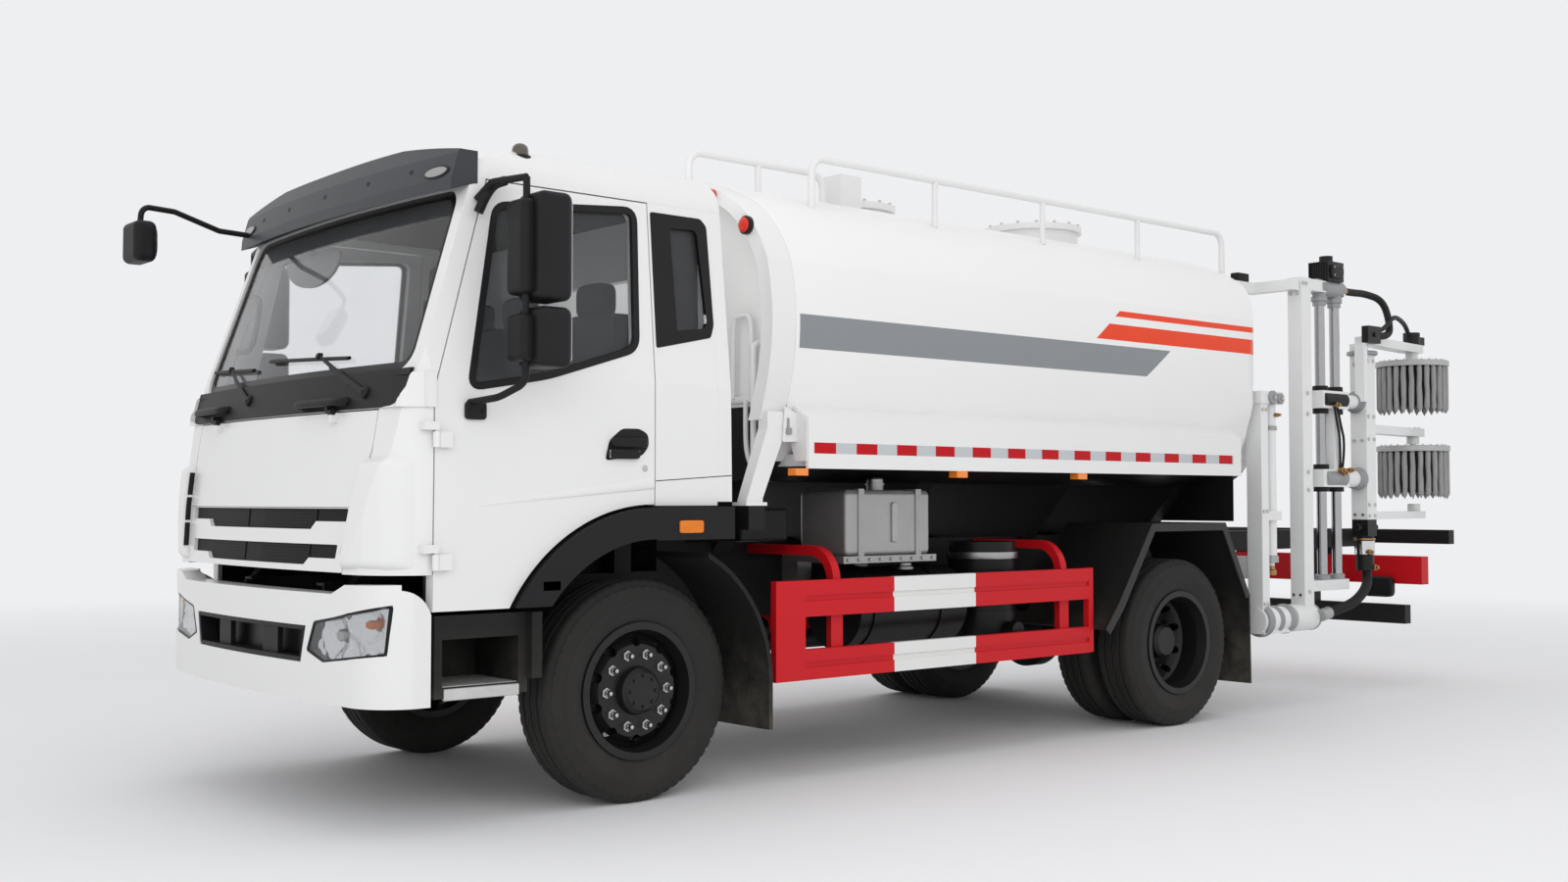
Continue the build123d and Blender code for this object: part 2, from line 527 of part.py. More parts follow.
oil = fillet(box(-1960, -1340, 640, 1010, 1080, 1424).edges(), 30)
oil += box(-1990, -1310, 540, 1020, 1046, 1082)
for x in (-1880, -1460):
    oil += box(x, x + 40, 634, 1016, 1046, 1430)
    oil += box(x - 40, x + 60, RAIL_Y + SEAT, 560, 930, 1060)
oil += rod("z", (-1650, 900, 1420), 40, 45)
node("oil_tank", oil)

exhaust = rod("z", (-2600, 800, 575), 560, 190)
for z in (700, 980):
    exhaust += ring("z", (-2600, 800, z), 50, 198, 188)
exhaust += box(-2660, -2540, RAIL_Y + SEAT, 640, 760, 900)
exhaust += rod("y", (-2600, 960, 640), 110, 50)
node("exhaust_unit", exhaust)

battery = fillet(box(-1500, -900, -1060, -560, 640, 940).edges(), 20)
battery += box(-1300, -1100, -600, -RAIL_Y - SEAT, 780, 900)
reservoir = rod("x", (-2600, -740, 860), 900, 140)
for x in (-2500, -1900):
    reservoir += box(x, x + 50, -640, -RAIL_Y - SEAT, 800, 900)
node("battery_and_reservoir", battery, reservoir)

# Side guards: two rails on hanger arms
GUARD_FRONT, GUARD_REAR = -745, -3130
rails = None
for low, high in ((800, 978), (492, 640)):
    rail = box(GUARD_REAR, GUARD_FRONT, GUARD_Y - 40, GUARD_Y, low, high)
    middle = (low + high) / 2
    rail -= box(GUARD_REAR - 1, GUARD_FRONT + 1, GUARD_Y - 10, GUARD_Y + 1, middle - 14, middle + 14)
    rails = rail if rails is None else rails + rail
rails += box(GUARD_FRONT - 190, GUARD_FRONT, GUARD_Y - 40, GUARD_Y, 492, 978)
for x in (-1180, -2950):
    rails += box(x - 40, x + 40, GUARD_Y - 44, GUARD_Y - 40 + SEAT, 520, 960)
    bend_y, bend_z = GUARD_Y - 215, 965
    rails += box(x - 25, x + 25, GUARD_Y - 90, GUARD_Y - 40, 560, bend_z)
    arch = ring("x", (x - 25, bend_y, bend_z), 50, 175, 125)
    rails += arch & box(x - 26, x + 26, bend_y, GUARD_Y, bend_z, 1200)
    rails += box(x - 25, x + 25, RAIL_Y + SEAT, bend_y, bend_z + 125, bend_z + 175)
node("side_guards", both(rails))

# Rear mudguards: bent sheet with a flap
sheet = [(778, 630), (650, 780), (332, 1232), (-426, 1232), (-690, 760), (-700, 210)]
sheet += [(-686, 210), (-676, 764), (-418, 1218), (324, 1218), (638, 772), (766, 622)]
rear_guard = side_plate([(REAR_X + x, z) for x, z in sheet], 590, 1232)
stay = sorted((REAR_X - 150, REAR_X - 90))
rear_guard += box(*stay, RAIL_Y + SEAT, 598, 960, 1006) + box(*stay, 555, 598, 960, 1225)
node("rear_mudguards", both(rear_guard))

# Water tank on its subframe
TANK_ARCS = [((0, TANK_TOP), (430, TANK_TOP - 26), (760, TANK_TOP - 130)),
             ((760, TANK_TOP - 130), (1030, TANK_TOP - 310), (1160, 2545)),
             ((1160, 2545), (TANK_Y, 2220), (1130, 1841)),
             ((1130, 1841), (960, 1560), (560, 1480))]


def tank_section(inset, x):
    k = 1 - inset / TANK_Y
    edge = None
    for sign in (1, -1):
        for a, m, b in TANK_ARCS:
            arc = ThreePointArc(*[(x, sign * q * k, 2270 + (z - 2270) * k) for q, z in (a, m, b)])
            edge = arc if edge is None else edge + arc
    low = 2270 + (1480 - 2270) * k
    return make_face(edge + Line((x, -560 * k, low), (x, 560 * k, low)))


tank = extrude(tank_section(0, TANK_REAR), amount=TANK_FRONT - TANK_REAR, dir=(1, 0, 0))
outline = Line((TANK_FRONT, -1300, 0), (TANK_FRONT, 1300, 0)) + Line((TANK_FRONT, 1300, 0), (-4700, 1300, 0))
outline += Line((-4700, 1300, 0), (-4700, TANK_Y + 1, 0))
outline += ThreePointArc((-4700, TANK_Y + 1, 0), (-4915, 1085, 0), (TANK_REAR, 800, 0))
outline += Line((TANK_REAR, 800, 0), (TANK_REAR, -800, 0))
outline += ThreePointArc((TANK_REAR, -800, 0), (-4915, -1085, 0), (-4700, -TANK_Y - 1, 0))
outline += Line((-4700, -TANK_Y - 1, 0), (-4700, -1300, 0)) + Line((-4700, -1300, 0), (TANK_FRONT, -1300, 0))
tank &= Pos(0, 0, 1400) * extrude(make_face(outline), amount=1800, dir=(0, 0, 1))
crown = Line((TANK_FRONT, 0, 1400), (TANK_FRONT, 0, 3200)) + Line((TANK_FRONT, 0, 3200), (-4660, 0, 3200))
crown += Line((-4660, 0, 3200), (-4660, 0, TANK_TOP))
crown += ThreePointArc((-4660, 0, TANK_TOP), (-4900, 0, 2960), (TANK_REAR, 0, 2740))
crown += Line((TANK_REAR, 0, 2740), (TANK_REAR, 0, 1400)) + Line((TANK_REAR, 0, 1400), (TANK_FRONT, 0, 1400))
tank &= Pos(0, -1300, 0) * extrude(make_face(crown), amount=2600, dir=(0, 1, 0))
tank -= box(-5100, -4790, RIG_Y - 110, 1300, 1400, 2120)
tank += rod("x", (TANK_REAR - 110, -500, 1750), 130, 50)
node("water_tank", tank)

SKIRT = [(1110, 1846), (SKIRT_Y, 1771), (SKIRT_Y, 1525), (SKIRT_Y - 20, 1525), (SKIRT_Y - 20, 1755)]
SKIRT += [(1090, 1830), (1090, 1846)]
skirt = cross_plate(SKIRT, -4540, -870)
for x in (-1000, -2200, -3400, -4400):
    skirt += box(x, x + 60, 700, SKIRT_Y - 10, 1540, 1600)
node("tank_skirts", both(skirt - tank))

OUTRIGGER_TOP = 1345
rim = extrude(tank_section(2, TANK_FRONT + SEAT), amount=150, dir=(1, 0, 0))
rim -= extrude(tank_section(85, TANK_FRONT - 1), amount=200, dir=(1, 0, 0))
rim &= box(-900, -600, -1300, 1300, 1760, 3100)
LEG = [(-826, 1800), (-690, 1800), (-690, 1720), (-560, 1370), (-560, OUTRIGGER_TOP)]
LEG += [(-660, OUTRIGGER_TOP), (-660, 1380), (-800, 1700)]
leg = side_plate(LEG, 1080, 1150)
leg += box(-675, -545, 1060, 1165, OUTRIGGER_TOP, OUTRIGGER_TOP + 16)
GRAB = [(TANK_FRONT - 5, 960, 2150), (-760, 960, 2150), (-760, 960, 1560), (TANK_FRONT - 5, 960, 1560)]
grab = pipe(GRAB, 16, 40) & box(TANK_FRONT + SEAT, 0, 0, 1300, 1000, 3000)
node("front_arch", rim + leg + flip(leg), both(grab))

# Subframe: saddles under the tank, the rear implement frame and its bars
sub = None
for s in (1, -1):
    beam = box(-5560, -700, s * (RAIL_Y - 80), s * RAIL_Y, RAIL_TOP + SEAT, 1150)
    beam += box(-7480, -5400, s * (RAIL_Y - 80), s * RAIL_Y, RAIL_TOP + SEAT, 1150)
    sub = beam if sub is None else sub + beam
for s in (1, -1):
    sub += box(-660, -560, s * (RAIL_Y - 80), s * 1165, 1230, OUTRIGGER_TOP - SEAT)
    sub += box(-740, -560, s * (RAIL_Y - 80), s * RAIL_Y, RAIL_TOP + SEAT, 1240)
for x in (-980, -2200, -3400, -4600):
    sub += cross_plate([(-900, 1640), (900, 1640), (RAIL_Y, 1100), (-RAIL_Y, 1100)], x - 60, x + 60)
sub -= tank
for x in (-5480, -6200):
    sub += box(x - 40, x + 40, -RAIL_Y, RAIL_Y, RAIL_TOP + 10, 1140)
sub += box(-7500, -7420, -1150, 1150, 1040, 1146)
sub += box(-6830, -6750, -1150, 1150, 475, 610)
for s in (1, -1):
    sub += box(-6830, -6750, s * 350, s * 430, 600, 1100)
    sub += box(-7090, -7010, s * 350, s * 430, 955 + SEAT, 1100)
node("sub_frame", sub)
node("underrun_beam", box(-7100, -7000, -1150, 1150, 750, 955))

# Fittings on top of the tank
TOP_RAILS = ((820, -1270, -4980, 3165), (430, -760, -1700, 3190))
RAILS = [(y * s, a, b, z) for y, a, b, z in TOP_RAILS for s in (1, -1)]
top = None
for y, x0, x1, z in RAILS:
    line = pipe([(x0, y, 3015 if y * y < 5e5 else 2880), (x0, y, z), (x1, y, z), (x1, y, 2700)], 20, 80)
    count = 4 if x1 < -3000 else 2
    for k in range(1, count):
        x = x0 + (x1 - x0) * k / count
        line += rod("z", (x, y, 2900), z - 2900, 17)
    top = line if top is None else top + line
for x, y, r, h in ((-2300, 0, 260, 3110), (-4000, 0, 300, 3170)):
    top += rod("z", (x, y, 2950), h - 2950, r) + rod("z", (x, y, h - 20), 40, r + 25)
top += box(-2010, -1850, 250, 420, 2950, 3220)
fittings = top - tank - rim
node("tank_top_fittings", fittings)

lamps = both(rod("x", (TANK_FRONT + 150 + 2 * SEAT, 735, 2903), 30, 32))
for x in (-870, -2000, -3000):
    lamps += both(box(x, x + 80, SKIRT_Y - 60, SKIRT_Y - 2, 1490, 1525 - SEAT))
for y in (-900, 620, 900):
    lamps.append(box(-7500 - SEAT, -7530, y, y + 180, 1050, 1136))
node("marker_lamps", lamps)

# Rig base: post, top bearing block, cylinder and the turning shaft
post = box(-4910, -4830, RIG_Y - 55, RIG_Y + 55, 520, 2000)
post += box(-5080, -4820, RIG_Y - 65, RIG_Y + 65, 2000, 2080)
post += rod("x", (-5180, RIG_Y, RIG_AXIS_Z), 360, 85)
post += rod("z", (-5025, RIG_Y, 980), 1022, 34) + rod("z", (-5025, RIG_Y, 900), 90, 18)
post += box(-5070, -4900, RIG_Y - 50, RIG_Y + 50, 1240, 1300)
post += rod("x", (-5470, RIG_Y, RIG_AXIS_Z), 300, 45)
post += box(-4900, -4840, RAIL_Y + SEAT, RIG_Y - 40, 860, 1005)
post += box(-5150, -4840, RIG_Y - 60, RIG_Y + 60, 505, 560)
cradle = box(-5260, -4800, 830, 900, 2780, 2850) + box(-5326, -5240, 830, RIG_Y + 40, 2780, 2850)
node("mast_post", post, cradle - tank - fittings)

# Mast: column, guide rods, head block and drive
COLUMN_X = -5388
mast = box(COLUMN_X - 60, COLUMN_X + 55, RIG_Y - 52, RIG_Y + 52, 700, 2870)
mast += rod("x", (-5460, RIG_Y, RIG_AXIS_Z), 260, 90)
mast += box(COLUMN_X - 60, COLUMN_X + 55, RIG_Y - 52, RIG_Y + 52, 600, 720)
mast += box(-5900, COLUMN_X, RIG_Y - 50, RIG_Y + 50, 2790, 2868)
mast += box(-5900, COLUMN_X, RIG_Y - 50, RIG_Y + 50, 760, 830)
mast -= rod("x", (-5480, RIG_Y, RIG_AXIS_Z), 400, 45 + RUN)
ROD_X = (-5641, -5830)
rods = [rod("z", (x, RIG_Y, 770), 2090, 34) for x in ROD_X]
for bar in rods:
    mast -= bar
node("mast_column", mast)
node("guide_rods", rods)
motor = fillet(box(-5830, -5640, RIG_Y - 70, RIG_Y + 70, 2868 + SEAT, 3000).edges(), 18)
node("mast_motor", motor + rod("z", (-5735, RIG_Y, 2990), 60, 45))

# Lift carriage: sleeves on the rods, cross tubes and the valve stand
PIVOT_HEAD = 1522
lift = None
for z, r in ((2058, 48), (PIVOT_HEAD, 60)):
    block = box(-5900, -5570, RIG_Y - 62, RIG_Y + 62, z - 60, z + 60)
    block += rod("x", (-6110, RIG_Y, z), 260, r)
    lift = block if lift is None else lift + block
lift += box(-5760, -5710, RIG_Y - 62, RIG_Y + 62, PIVOT_HEAD, 2058)
lift += rod("x", (-6125, RIG_Y, 2058), 20, 80)
lift += rod("x", (-6250, RIG_Y, PIVOT_HEAD), 200, 40)
for x in ROD_X:
    lift -= rod("z", (x, RIG_Y, 1000), 1500, 34 + RUN)
lift += box(-6110, -6060, RIG_Y + 20, RIG_Y + 90, 2058, 2470)
valve = box(-6240, -6070, RIG_Y + 70, RIG_Y + 120, 2470 + SEAT, 2590)
valve += rod("y", (-6160, RIG_Y + 120, 2530), 12, 16)
node("lift_carriage", lift)
node("valve_block", fillet(valve.edges().filter_by(Axis.Y), 8))

# Brush head: column, arms and motors
HEAD_X = -6198
head = box(HEAD_X - 62, HEAD_X + 62, RIG_Y - 60, RIG_Y + 60, 1236, 2388)
head -= rod("x", (-6300, RIG_Y, PIVOT_HEAD), 400, 40 + RUN)
head += box(HEAD_X - 75, HEAD_X + 75, RIG_Y - 70, RIG_Y + 60, 2388, 2404)
ARMS = ((2470, 2530), (1845, 1905), (1236, 1290))
for low, high in ARMS:
    arm = [(HEAD_X, RIG_Y - 55), (HEAD_X, RIG_Y + 55), (BRUSH_X + 60, BRUSH_Y + 60)]
    arm += [(BRUSH_X - 80, BRUSH_Y + 50), (BRUSH_X - 80, BRUSH_Y - 50), (BRUSH_X + 60, BRUSH_Y - 60)]
    head += plan_plate(arm, low, high)
head += box(HEAD_X - 62, HEAD_X + 62, RIG_Y - 60, RIG_Y + 10, 2400, 2475)
for low, high in ((2420, 2475), (1790, 1850), (1285, 1345)):
    head += rod("z", (BRUSH_X, BRUSH_Y, low), high - low, 45)
BRUSH_SHAFT = 22
for top_z in BRUSH_TOPS:
    head += rod("z", (BRUSH_X, BRUSH_Y, top_z - 120), 150, BRUSH_SHAFT)
node("brush_column", head)

drive = rod("z", (BRUSH_X, BRUSH_Y, 2530 + SEAT), 90, 60)
drive += box(BRUSH_X - 110, BRUSH_X, BRUSH_Y - 45, BRUSH_Y + 45, 2530 + SEAT, 2590)
pump = box(HEAD_X - 60, HEAD_X + 60, RIG_Y - 60, RIG_Y + 60, 1120, 1236 - SEAT)
pump += rod("z", (HEAD_X, RIG_Y, 880), 245, 62)
pump += rod("x", (HEAD_X - 130, RIG_Y + 10, 1180), 260, 24)
node("brush_motors", drive, pump)


def brush(top_z):
    body = rod("z", (BRUSH_X, BRUSH_Y, top_z - 24), 24, BRUSH_R - 8)
    body += rod("z", (BRUSH_X, BRUSH_Y, top_z - 130), 130, 70)
    for k in range(STRIPS):
        strip = box(150, BRUSH_R, -9, 9, top_z - BRUSH_H, top_z - 20)
        body += Pos(BRUSH_X, BRUSH_Y, 0) * Rot(0, 0, 360 * k / STRIPS) * strip
    body -= rod("z", (BRUSH_X, BRUSH_Y, top_z - 121), 200, BRUSH_SHAFT + RUN)
    return body


for name, top_z in zip(("brush_upper", "brush_lower"), BRUSH_TOPS):
    node(name, brush(top_z))

HOSE = [(-5900 - SEAT, RIG_Y, 2829), (-6280, RIG_Y, 2829), (-6430, RIG_Y + 95, 2760)]
HOSE += [(-6430, RIG_Y + 95, 2530), (-6240 - SEAT, RIG_Y + 95, 2530)]
hose = pipe(HOSE, 24, 70)
node("rig_hose", hose)

# Write each node as its own file, with the truck's box centred on x = 0
os.makedirs("parts", exist_ok=True)
boxes = [solid.bounding_box() for solids in NODES.values() for solid in solids]
shift = -(max(b.max.X for b in boxes) + min(b.min.X for b in boxes)) / 2
for name, solids in NODES.items():
    moved = [Pos(shift, 0, 0) * solid for solid in solids]
    export_step(moved[0] if len(moved) == 1 else Compound(children=moved), f"parts/{name}.step")
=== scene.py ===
"""Guardrail cleaning truck: finishes, lamps, tyres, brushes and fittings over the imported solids."""
import bmesh
import bpy
import numpy as np
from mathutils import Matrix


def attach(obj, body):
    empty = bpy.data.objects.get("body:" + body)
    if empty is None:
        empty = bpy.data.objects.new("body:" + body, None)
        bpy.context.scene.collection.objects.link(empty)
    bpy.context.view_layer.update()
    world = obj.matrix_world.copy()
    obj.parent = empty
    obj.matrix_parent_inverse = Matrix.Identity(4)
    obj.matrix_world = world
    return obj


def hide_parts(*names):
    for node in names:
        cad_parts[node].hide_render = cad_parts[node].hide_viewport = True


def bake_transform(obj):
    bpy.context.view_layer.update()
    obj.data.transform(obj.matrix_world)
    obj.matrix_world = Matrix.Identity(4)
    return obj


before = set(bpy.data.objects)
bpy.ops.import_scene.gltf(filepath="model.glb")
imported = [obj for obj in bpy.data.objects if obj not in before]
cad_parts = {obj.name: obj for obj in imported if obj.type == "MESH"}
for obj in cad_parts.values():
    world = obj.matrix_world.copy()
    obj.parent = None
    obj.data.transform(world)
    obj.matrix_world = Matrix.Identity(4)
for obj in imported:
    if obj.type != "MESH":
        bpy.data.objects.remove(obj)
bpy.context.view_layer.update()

# Main places in mm: the front axle in the row frame, and the rest from the ground under that axle
AXLE_X = 2945.0
AXLE = np.array([AXLE_X, 0.0, 0.0])
WHEEL_R = 506
REAR_X = -3950
RIG_Y = 1150
ROD_X = (-5641, -5830)
HEAD_X = -6198
RAM_X = -5025
TEE_Z = 2829
BRUSH_X = -7080
BRUSH_Y = 1055
SIDES = ("left", "right")


# Surfaces, in mm from the ground under the front axle
def grid(points, wrap_u=False, wrap_v=False):
    """Quads between the rows u and columns v of a block of points; a wrapped side joins back to its start."""
    rows, columns = points.shape[:2]
    index = np.arange(rows * columns).reshape(rows, columns)
    if wrap_u:
        index = np.vstack([index, index[:1]])
    if wrap_v:
        index = np.hstack([index, index[:, :1]])
    corners = [index[:-1, :-1], index[:-1, 1:], index[1:, 1:], index[1:, :-1]]
    return points.reshape(-1, 3), np.stack(corners, -1).reshape(-1, 4)


def around(count):
    """Even angles round one full turn."""
    return np.linspace(0, 2 * np.pi, count, endpoint=False)


AXES = {"x": ((0, 1, 0), (0, 0, 1), (1, 0, 0)), "y": ((0, 0, 1), (1, 0, 0), (0, 1, 0)),
        "z": ((1, 0, 0), (0, 1, 0), (0, 0, 1))}


def turned(profile, centre, axis="z", steps=32):
    """A profile of (radius, height) carried round an axis: centre + r (cos a, sin a) + height."""
    across, up, along = (np.array(v, float) for v in AXES[axis])
    r, h = np.array(profile, float).T
    a = around(steps)
    spokes = np.cos(a)[:, None] * across + np.sin(a)[:, None] * up
    return grid(np.array(centre, float) + r[:, None, None] * spokes + h[:, None, None] * along, wrap_v=True)


def stud(centre, axis, radius, height, steps=6, lip=0.15):
    """A short turned stub, from its seat up to height, with an eased top edge."""
    edge = abs(height) * lip * np.sign(height)
    profile = [(0, 0), (radius, 0), (radius, height - edge), (radius * 0.86, height), (0, height)]
    return turned(profile, centre, axis, steps)


def bent(points, rounds=3):
    """A smooth path from a few points: each round cuts every corner a quarter of the way along its sides."""
    path = np.array(points, float)
    for _ in range(rounds):
        near = 0.75 * path[:-1] + 0.25 * path[1:]
        far = 0.25 * path[:-1] + 0.75 * path[1:]
        path = np.vstack([path[:1], np.stack([near, far], 1).reshape(-1, 3), path[-1:]])
    return path


def swept(path, radius, steps=10, up=(0, 0, 1), flat=1.0):
    """An ellipse carried along a path, closed at both ends; flat scales it along up."""
    path = np.array(path, float)
    ahead = np.gradient(path, axis=0)
    ahead /= np.linalg.norm(ahead, axis=1)[:, None]
    side = np.cross(ahead, np.array(up, float))
    side /= np.linalg.norm(side, axis=1)[:, None]
    top = np.cross(side, ahead)
    radii = np.concatenate([[0], np.broadcast_to(radius, len(path)), [0]])
    path, side, top = (np.vstack([v[:1], v, v[-1:]]) for v in (path, side, top))
    a = around(steps)[None, :, None]
    ring = np.cos(a) * side[:, None] + flat * np.sin(a) * top[:, None]
    return grid(path[:, None] + radii[:, None, None] * ring, wrap_v=True)


def rounded(outline, radius, steps=5):
    """An outline with each corner replaced by a curve that leaves both sides at radius from it."""
    corner = np.array(outline, float)
    before = np.roll(corner, 1, 0) - corner
    after = np.roll(corner, -1, 0) - corner
    a = corner + radius * before / np.linalg.norm(before, axis=1)[:, None]
    b = corner + radius * after / np.linalg.norm(after, axis=1)[:, None]
    t = np.linspace(0, 1, steps)[None, :, None]
    return ((1 - t) ** 2 * a[:, None] + 2 * t * (1 - t) * corner[:, None] + t * t * b[:, None]).reshape(-1, 2)


def pushed(outline, gap):
    """An outline moved outward by gap along the normals between neighbouring points."""
    o = np.array(outline, float)
    run = np.roll(o, -1, 0) - np.roll(o, 1, 0)
    turn = np.sign(np.sum(o[:, 0] * np.roll(o[:, 1], -1) - o[:, 1] * np.roll(o[:, 0], -1)))
    normal = turn * np.stack([run[:, 1], -run[:, 0]], 1) / np.linalg.norm(run, axis=1)[:, None]
    return o + gap * normal


PLANES = {"xy": (0, 1, 2), "xz": (0, 2, 1), "yz": (1, 2, 0)}


def lifted(rows, heights, plane):
    """Outline rows in a plane set at heights along its normal, as a block of points."""
    block = np.zeros((len(rows), len(rows[0]), 3))
    a, b, c = PLANES[plane]
    block[:, :, a] = np.array(rows)[:, :, 0]
    block[:, :, b] = np.array(rows)[:, :, 1]
    block[:, :, c] = np.array(heights)[:, None]
    return block


def plate(outline, low, high, plane="xy", ease=2.0):
    """An outline carried from low to high with eased edges, closed by fans to its middle."""
    o = np.array(outline, float)
    inner = pushed(o, -ease)
    middle = np.broadcast_to(o.mean(0), o.shape)
    rows = [middle, inner, o, o, inner, middle]
    step = ease * np.sign(high - low)
    return grid(lifted(rows, [low, low, low + step, high - step, high, high], plane), wrap_v=True)


def rim(outer, inner, low, high, plane="xz", ease=1.5):
    """A flat ring between two outlines of one length, from low to high, with eased top edges."""
    rows = [outer, outer, pushed(outer, -ease), pushed(inner, ease), inner, inner]
    step = ease * np.sign(high - low)
    return grid(lifted(rows, [low, high - step, high, high, high - step, low], plane),
                wrap_u=True, wrap_v=True)


def brick(x0, x1, y0, y1, z0, z1, round_by=6.0, ease=3.0):
    """A block with rounded upright edges and eased top and bottom."""
    corners = [(x0, y0), (x1, y0), (x1, y1), (x0, y1)]
    return plate(rounded(corners, round_by, 4), z0, z1, "xy", ease)


def pane(y, low, high, front, back, rows=6):
    """A sheet between edge lines low(y) and high(y), thick along x, its ends drawn to a point."""
    y, low, high = (np.array(v, float)[:, None] for v in np.broadcast_arrays(y, low, high))
    z = low + (high - low) * np.linspace(0, 1, rows)
    wide = y + 0 * z
    near = np.stack([front + 0 * z, wide, z], -1)
    far = np.stack([back + 0 * z, wide, z], -1)
    ring = np.concatenate([near, far[:, ::-1]], 1)
    first, last = (np.broadcast_to(row.mean(0), row.shape)[None] for row in (ring[0], ring[-1]))
    return grid(np.concatenate([first, ring, last]), wrap_v=True)


def cushion(x0, x1, y0, y1, z0, z1, power=0.3, rows=22, columns=44):
    """A block with all edges rounded: signed powers of the sines and cosines of latitude and longitude."""
    lat = np.linspace(-np.pi / 2, np.pi / 2, rows)[:, None]
    lon = around(columns)[None]

    def bulge(v):
        return np.sign(v) * np.abs(v) ** power

    unit = np.stack([bulge(np.cos(lat)) * bulge(np.cos(lon)), bulge(np.cos(lat)) * bulge(np.sin(lon)),
                     bulge(np.sin(lat)) + 0 * lon], -1)
    middle, half = np.array([x0 + x1, y0 + y1, z0 + z1]) / 2, np.array([x1 - x0, y1 - y0, z1 - z0]) / 2
    return grid(middle + half * unit, wrap_v=True)


def close_set(outline, count=10):
    """The same outline with each side cut into count steps, so that it can follow a curved face."""
    o = np.array(outline, float)
    t = np.linspace(0, 1, count, endpoint=False)[None, :, None]
    return (o[:, None] * (1 - t) + np.roll(o, -1, 0)[:, None] * t).reshape(-1, 2)


def mirrored(*parts):
    """The parts again on the other side of the truck, after themselves."""
    return list(parts) + [(v * (1, -1, 1), f) for v, f in parts]


def flipped(*parts):
    """The parts on the other side only."""
    return [(v * (1, -1, 1), f) for v, f in parts]


def on_hand(side, *parts):
    """The parts as they are for the left, mirrored for the right."""
    return list(parts) if side == "left" else flipped(*parts)


def stamped(part, places):
    """One small shape repeated at many places."""
    v, f = part
    places = np.array(places, float)
    count = np.arange(len(places))[:, None, None]
    return (v[None] + places[:, None]).reshape(-1, 3), (f[None] + count * len(v)).reshape(-1, f.shape[1])


def bolt_set(axis, radius, height, spots):
    """One stud repeated at many places."""
    return stamped(stud((0, 0, 0), axis, radius, height), spots)


# The cab's own faces: the nose bows with a 9 m radius, the sides lean in above the belt
NOSE = np.array([(300, 1384), (1074, 1384), (1342, 1356), (1747, 1292), (1897, 1248),
                 (2698, 980), (3000, 880)])
CORNER = np.array([(0, 1900), (860, 1360), (880, 1345), (1010, 1303), (1080, 1262),
                   (1130, 1196), (1166, 1104)])
NOSE_BOW = 7616


def nose_x(y, z):
    """The nose's x: a bow about a far upright line, cut off by the corner's outline."""
    reach = np.interp(z, NOSE[:, 0], NOSE[:, 1]) + NOSE_BOW
    bowed = np.sqrt(reach ** 2 - y ** 2) - NOSE_BOW
    return np.minimum(bowed, np.interp(np.abs(y), CORNER[:, 0], CORNER[:, 1]))


def side_y(z):
    """The left side's y: drawn in a little towards the foot, and leaning in above the belt."""
    return 1165 - 12 * np.clip((1500 - z) / 1200, 0, 1) - 72 * np.clip((z - 1900) / 830, 0, 1.1)


BUMPER = np.array([(0, 1412), (300, 1406), (600, 1390), (960, 1352), (1030, 1318), (1090, 1288),
                   (1130, 1240), (1150, 1180)])


def on_nose(part):
    """Takes x as height above the cab's nose."""
    v = part[0].copy()
    v[:, 0] += nose_x(v[:, 1], v[:, 2])
    return v, part[1]


def on_bumper(part):
    """Takes x as height above the bumper's face."""
    v = part[0].copy()
    v[:, 0] += np.interp(np.abs(v[:, 1]), BUMPER[:, 0], BUMPER[:, 1])
    return v, part[1]


def on_side(part):
    """Takes y as height above the cab's left side."""
    v = part[0].copy()
    v[:, 1] += side_y(v[:, 2])
    return v, part[1]


def piece(name, parts, body, finish, sharp=38):
    """Parts joined into one mesh in the row frame: points merged, faces outward, edges sharpened."""
    starts = np.cumsum([0] + [len(v) for v, _ in parts])
    points = (np.vstack([v for v, _ in parts]) + AXLE) * 0.001
    faces = np.vstack([f + k for (_, f), k in zip(parts, starts)])
    mesh = bpy.data.meshes.new(name)
    mesh.from_pydata(points, [], faces.tolist())
    work = bmesh.new()
    work.from_mesh(mesh)
    bmesh.ops.remove_doubles(work, verts=work.verts, dist=2e-5)
    bmesh.ops.dissolve_degenerate(work, edges=work.edges, dist=2e-5)
    bmesh.ops.recalc_face_normals(work, faces=work.faces)
    work.to_mesh(mesh)
    work.free()
    mesh.shade_smooth()
    mesh.set_sharp_from_angle(angle=np.radians(sharp))
    mesh.materials.append(finish)
    obj = bpy.data.objects.new(name, mesh)
    bpy.context.scene.collection.objects.link(obj)
    if body:
        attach(obj, body)
    return obj


# Finishes
def link(tree, out, into):
    tree.links.new(out, into)


def maths(tree, kind, a, b=None, c=None):
    """One arithmetic step; each input is a socket or a number."""
    step = tree.nodes.new("ShaderNodeMath")
    step.operation = kind
    for k, value in enumerate((a, b, c)):
        if isinstance(value, (int, float)):
            step.inputs[k].default_value = value
        elif value is not None:
            link(tree, value, step.inputs[k])
    return step.outputs[0]


def noise(tree, place, scale, detail=3.0, rough=0.5, stretch=None):
    """Noise over the object's own coordinates, stretched per axis where given."""
    if stretch is not None:
        mapping = tree.nodes.new("ShaderNodeMapping")
        mapping.inputs["Scale"].default_value = stretch
        link(tree, place, mapping.inputs["Vector"])
        place = mapping.outputs[0]
    tex = tree.nodes.new("ShaderNodeTexNoise")
    tex.inputs["Scale"].default_value = scale
    tex.inputs["Detail"].default_value = detail
    tex.inputs["Roughness"].default_value = rough
    link(tree, place, tex.inputs["Vector"])
    return tex.outputs["Fac"]


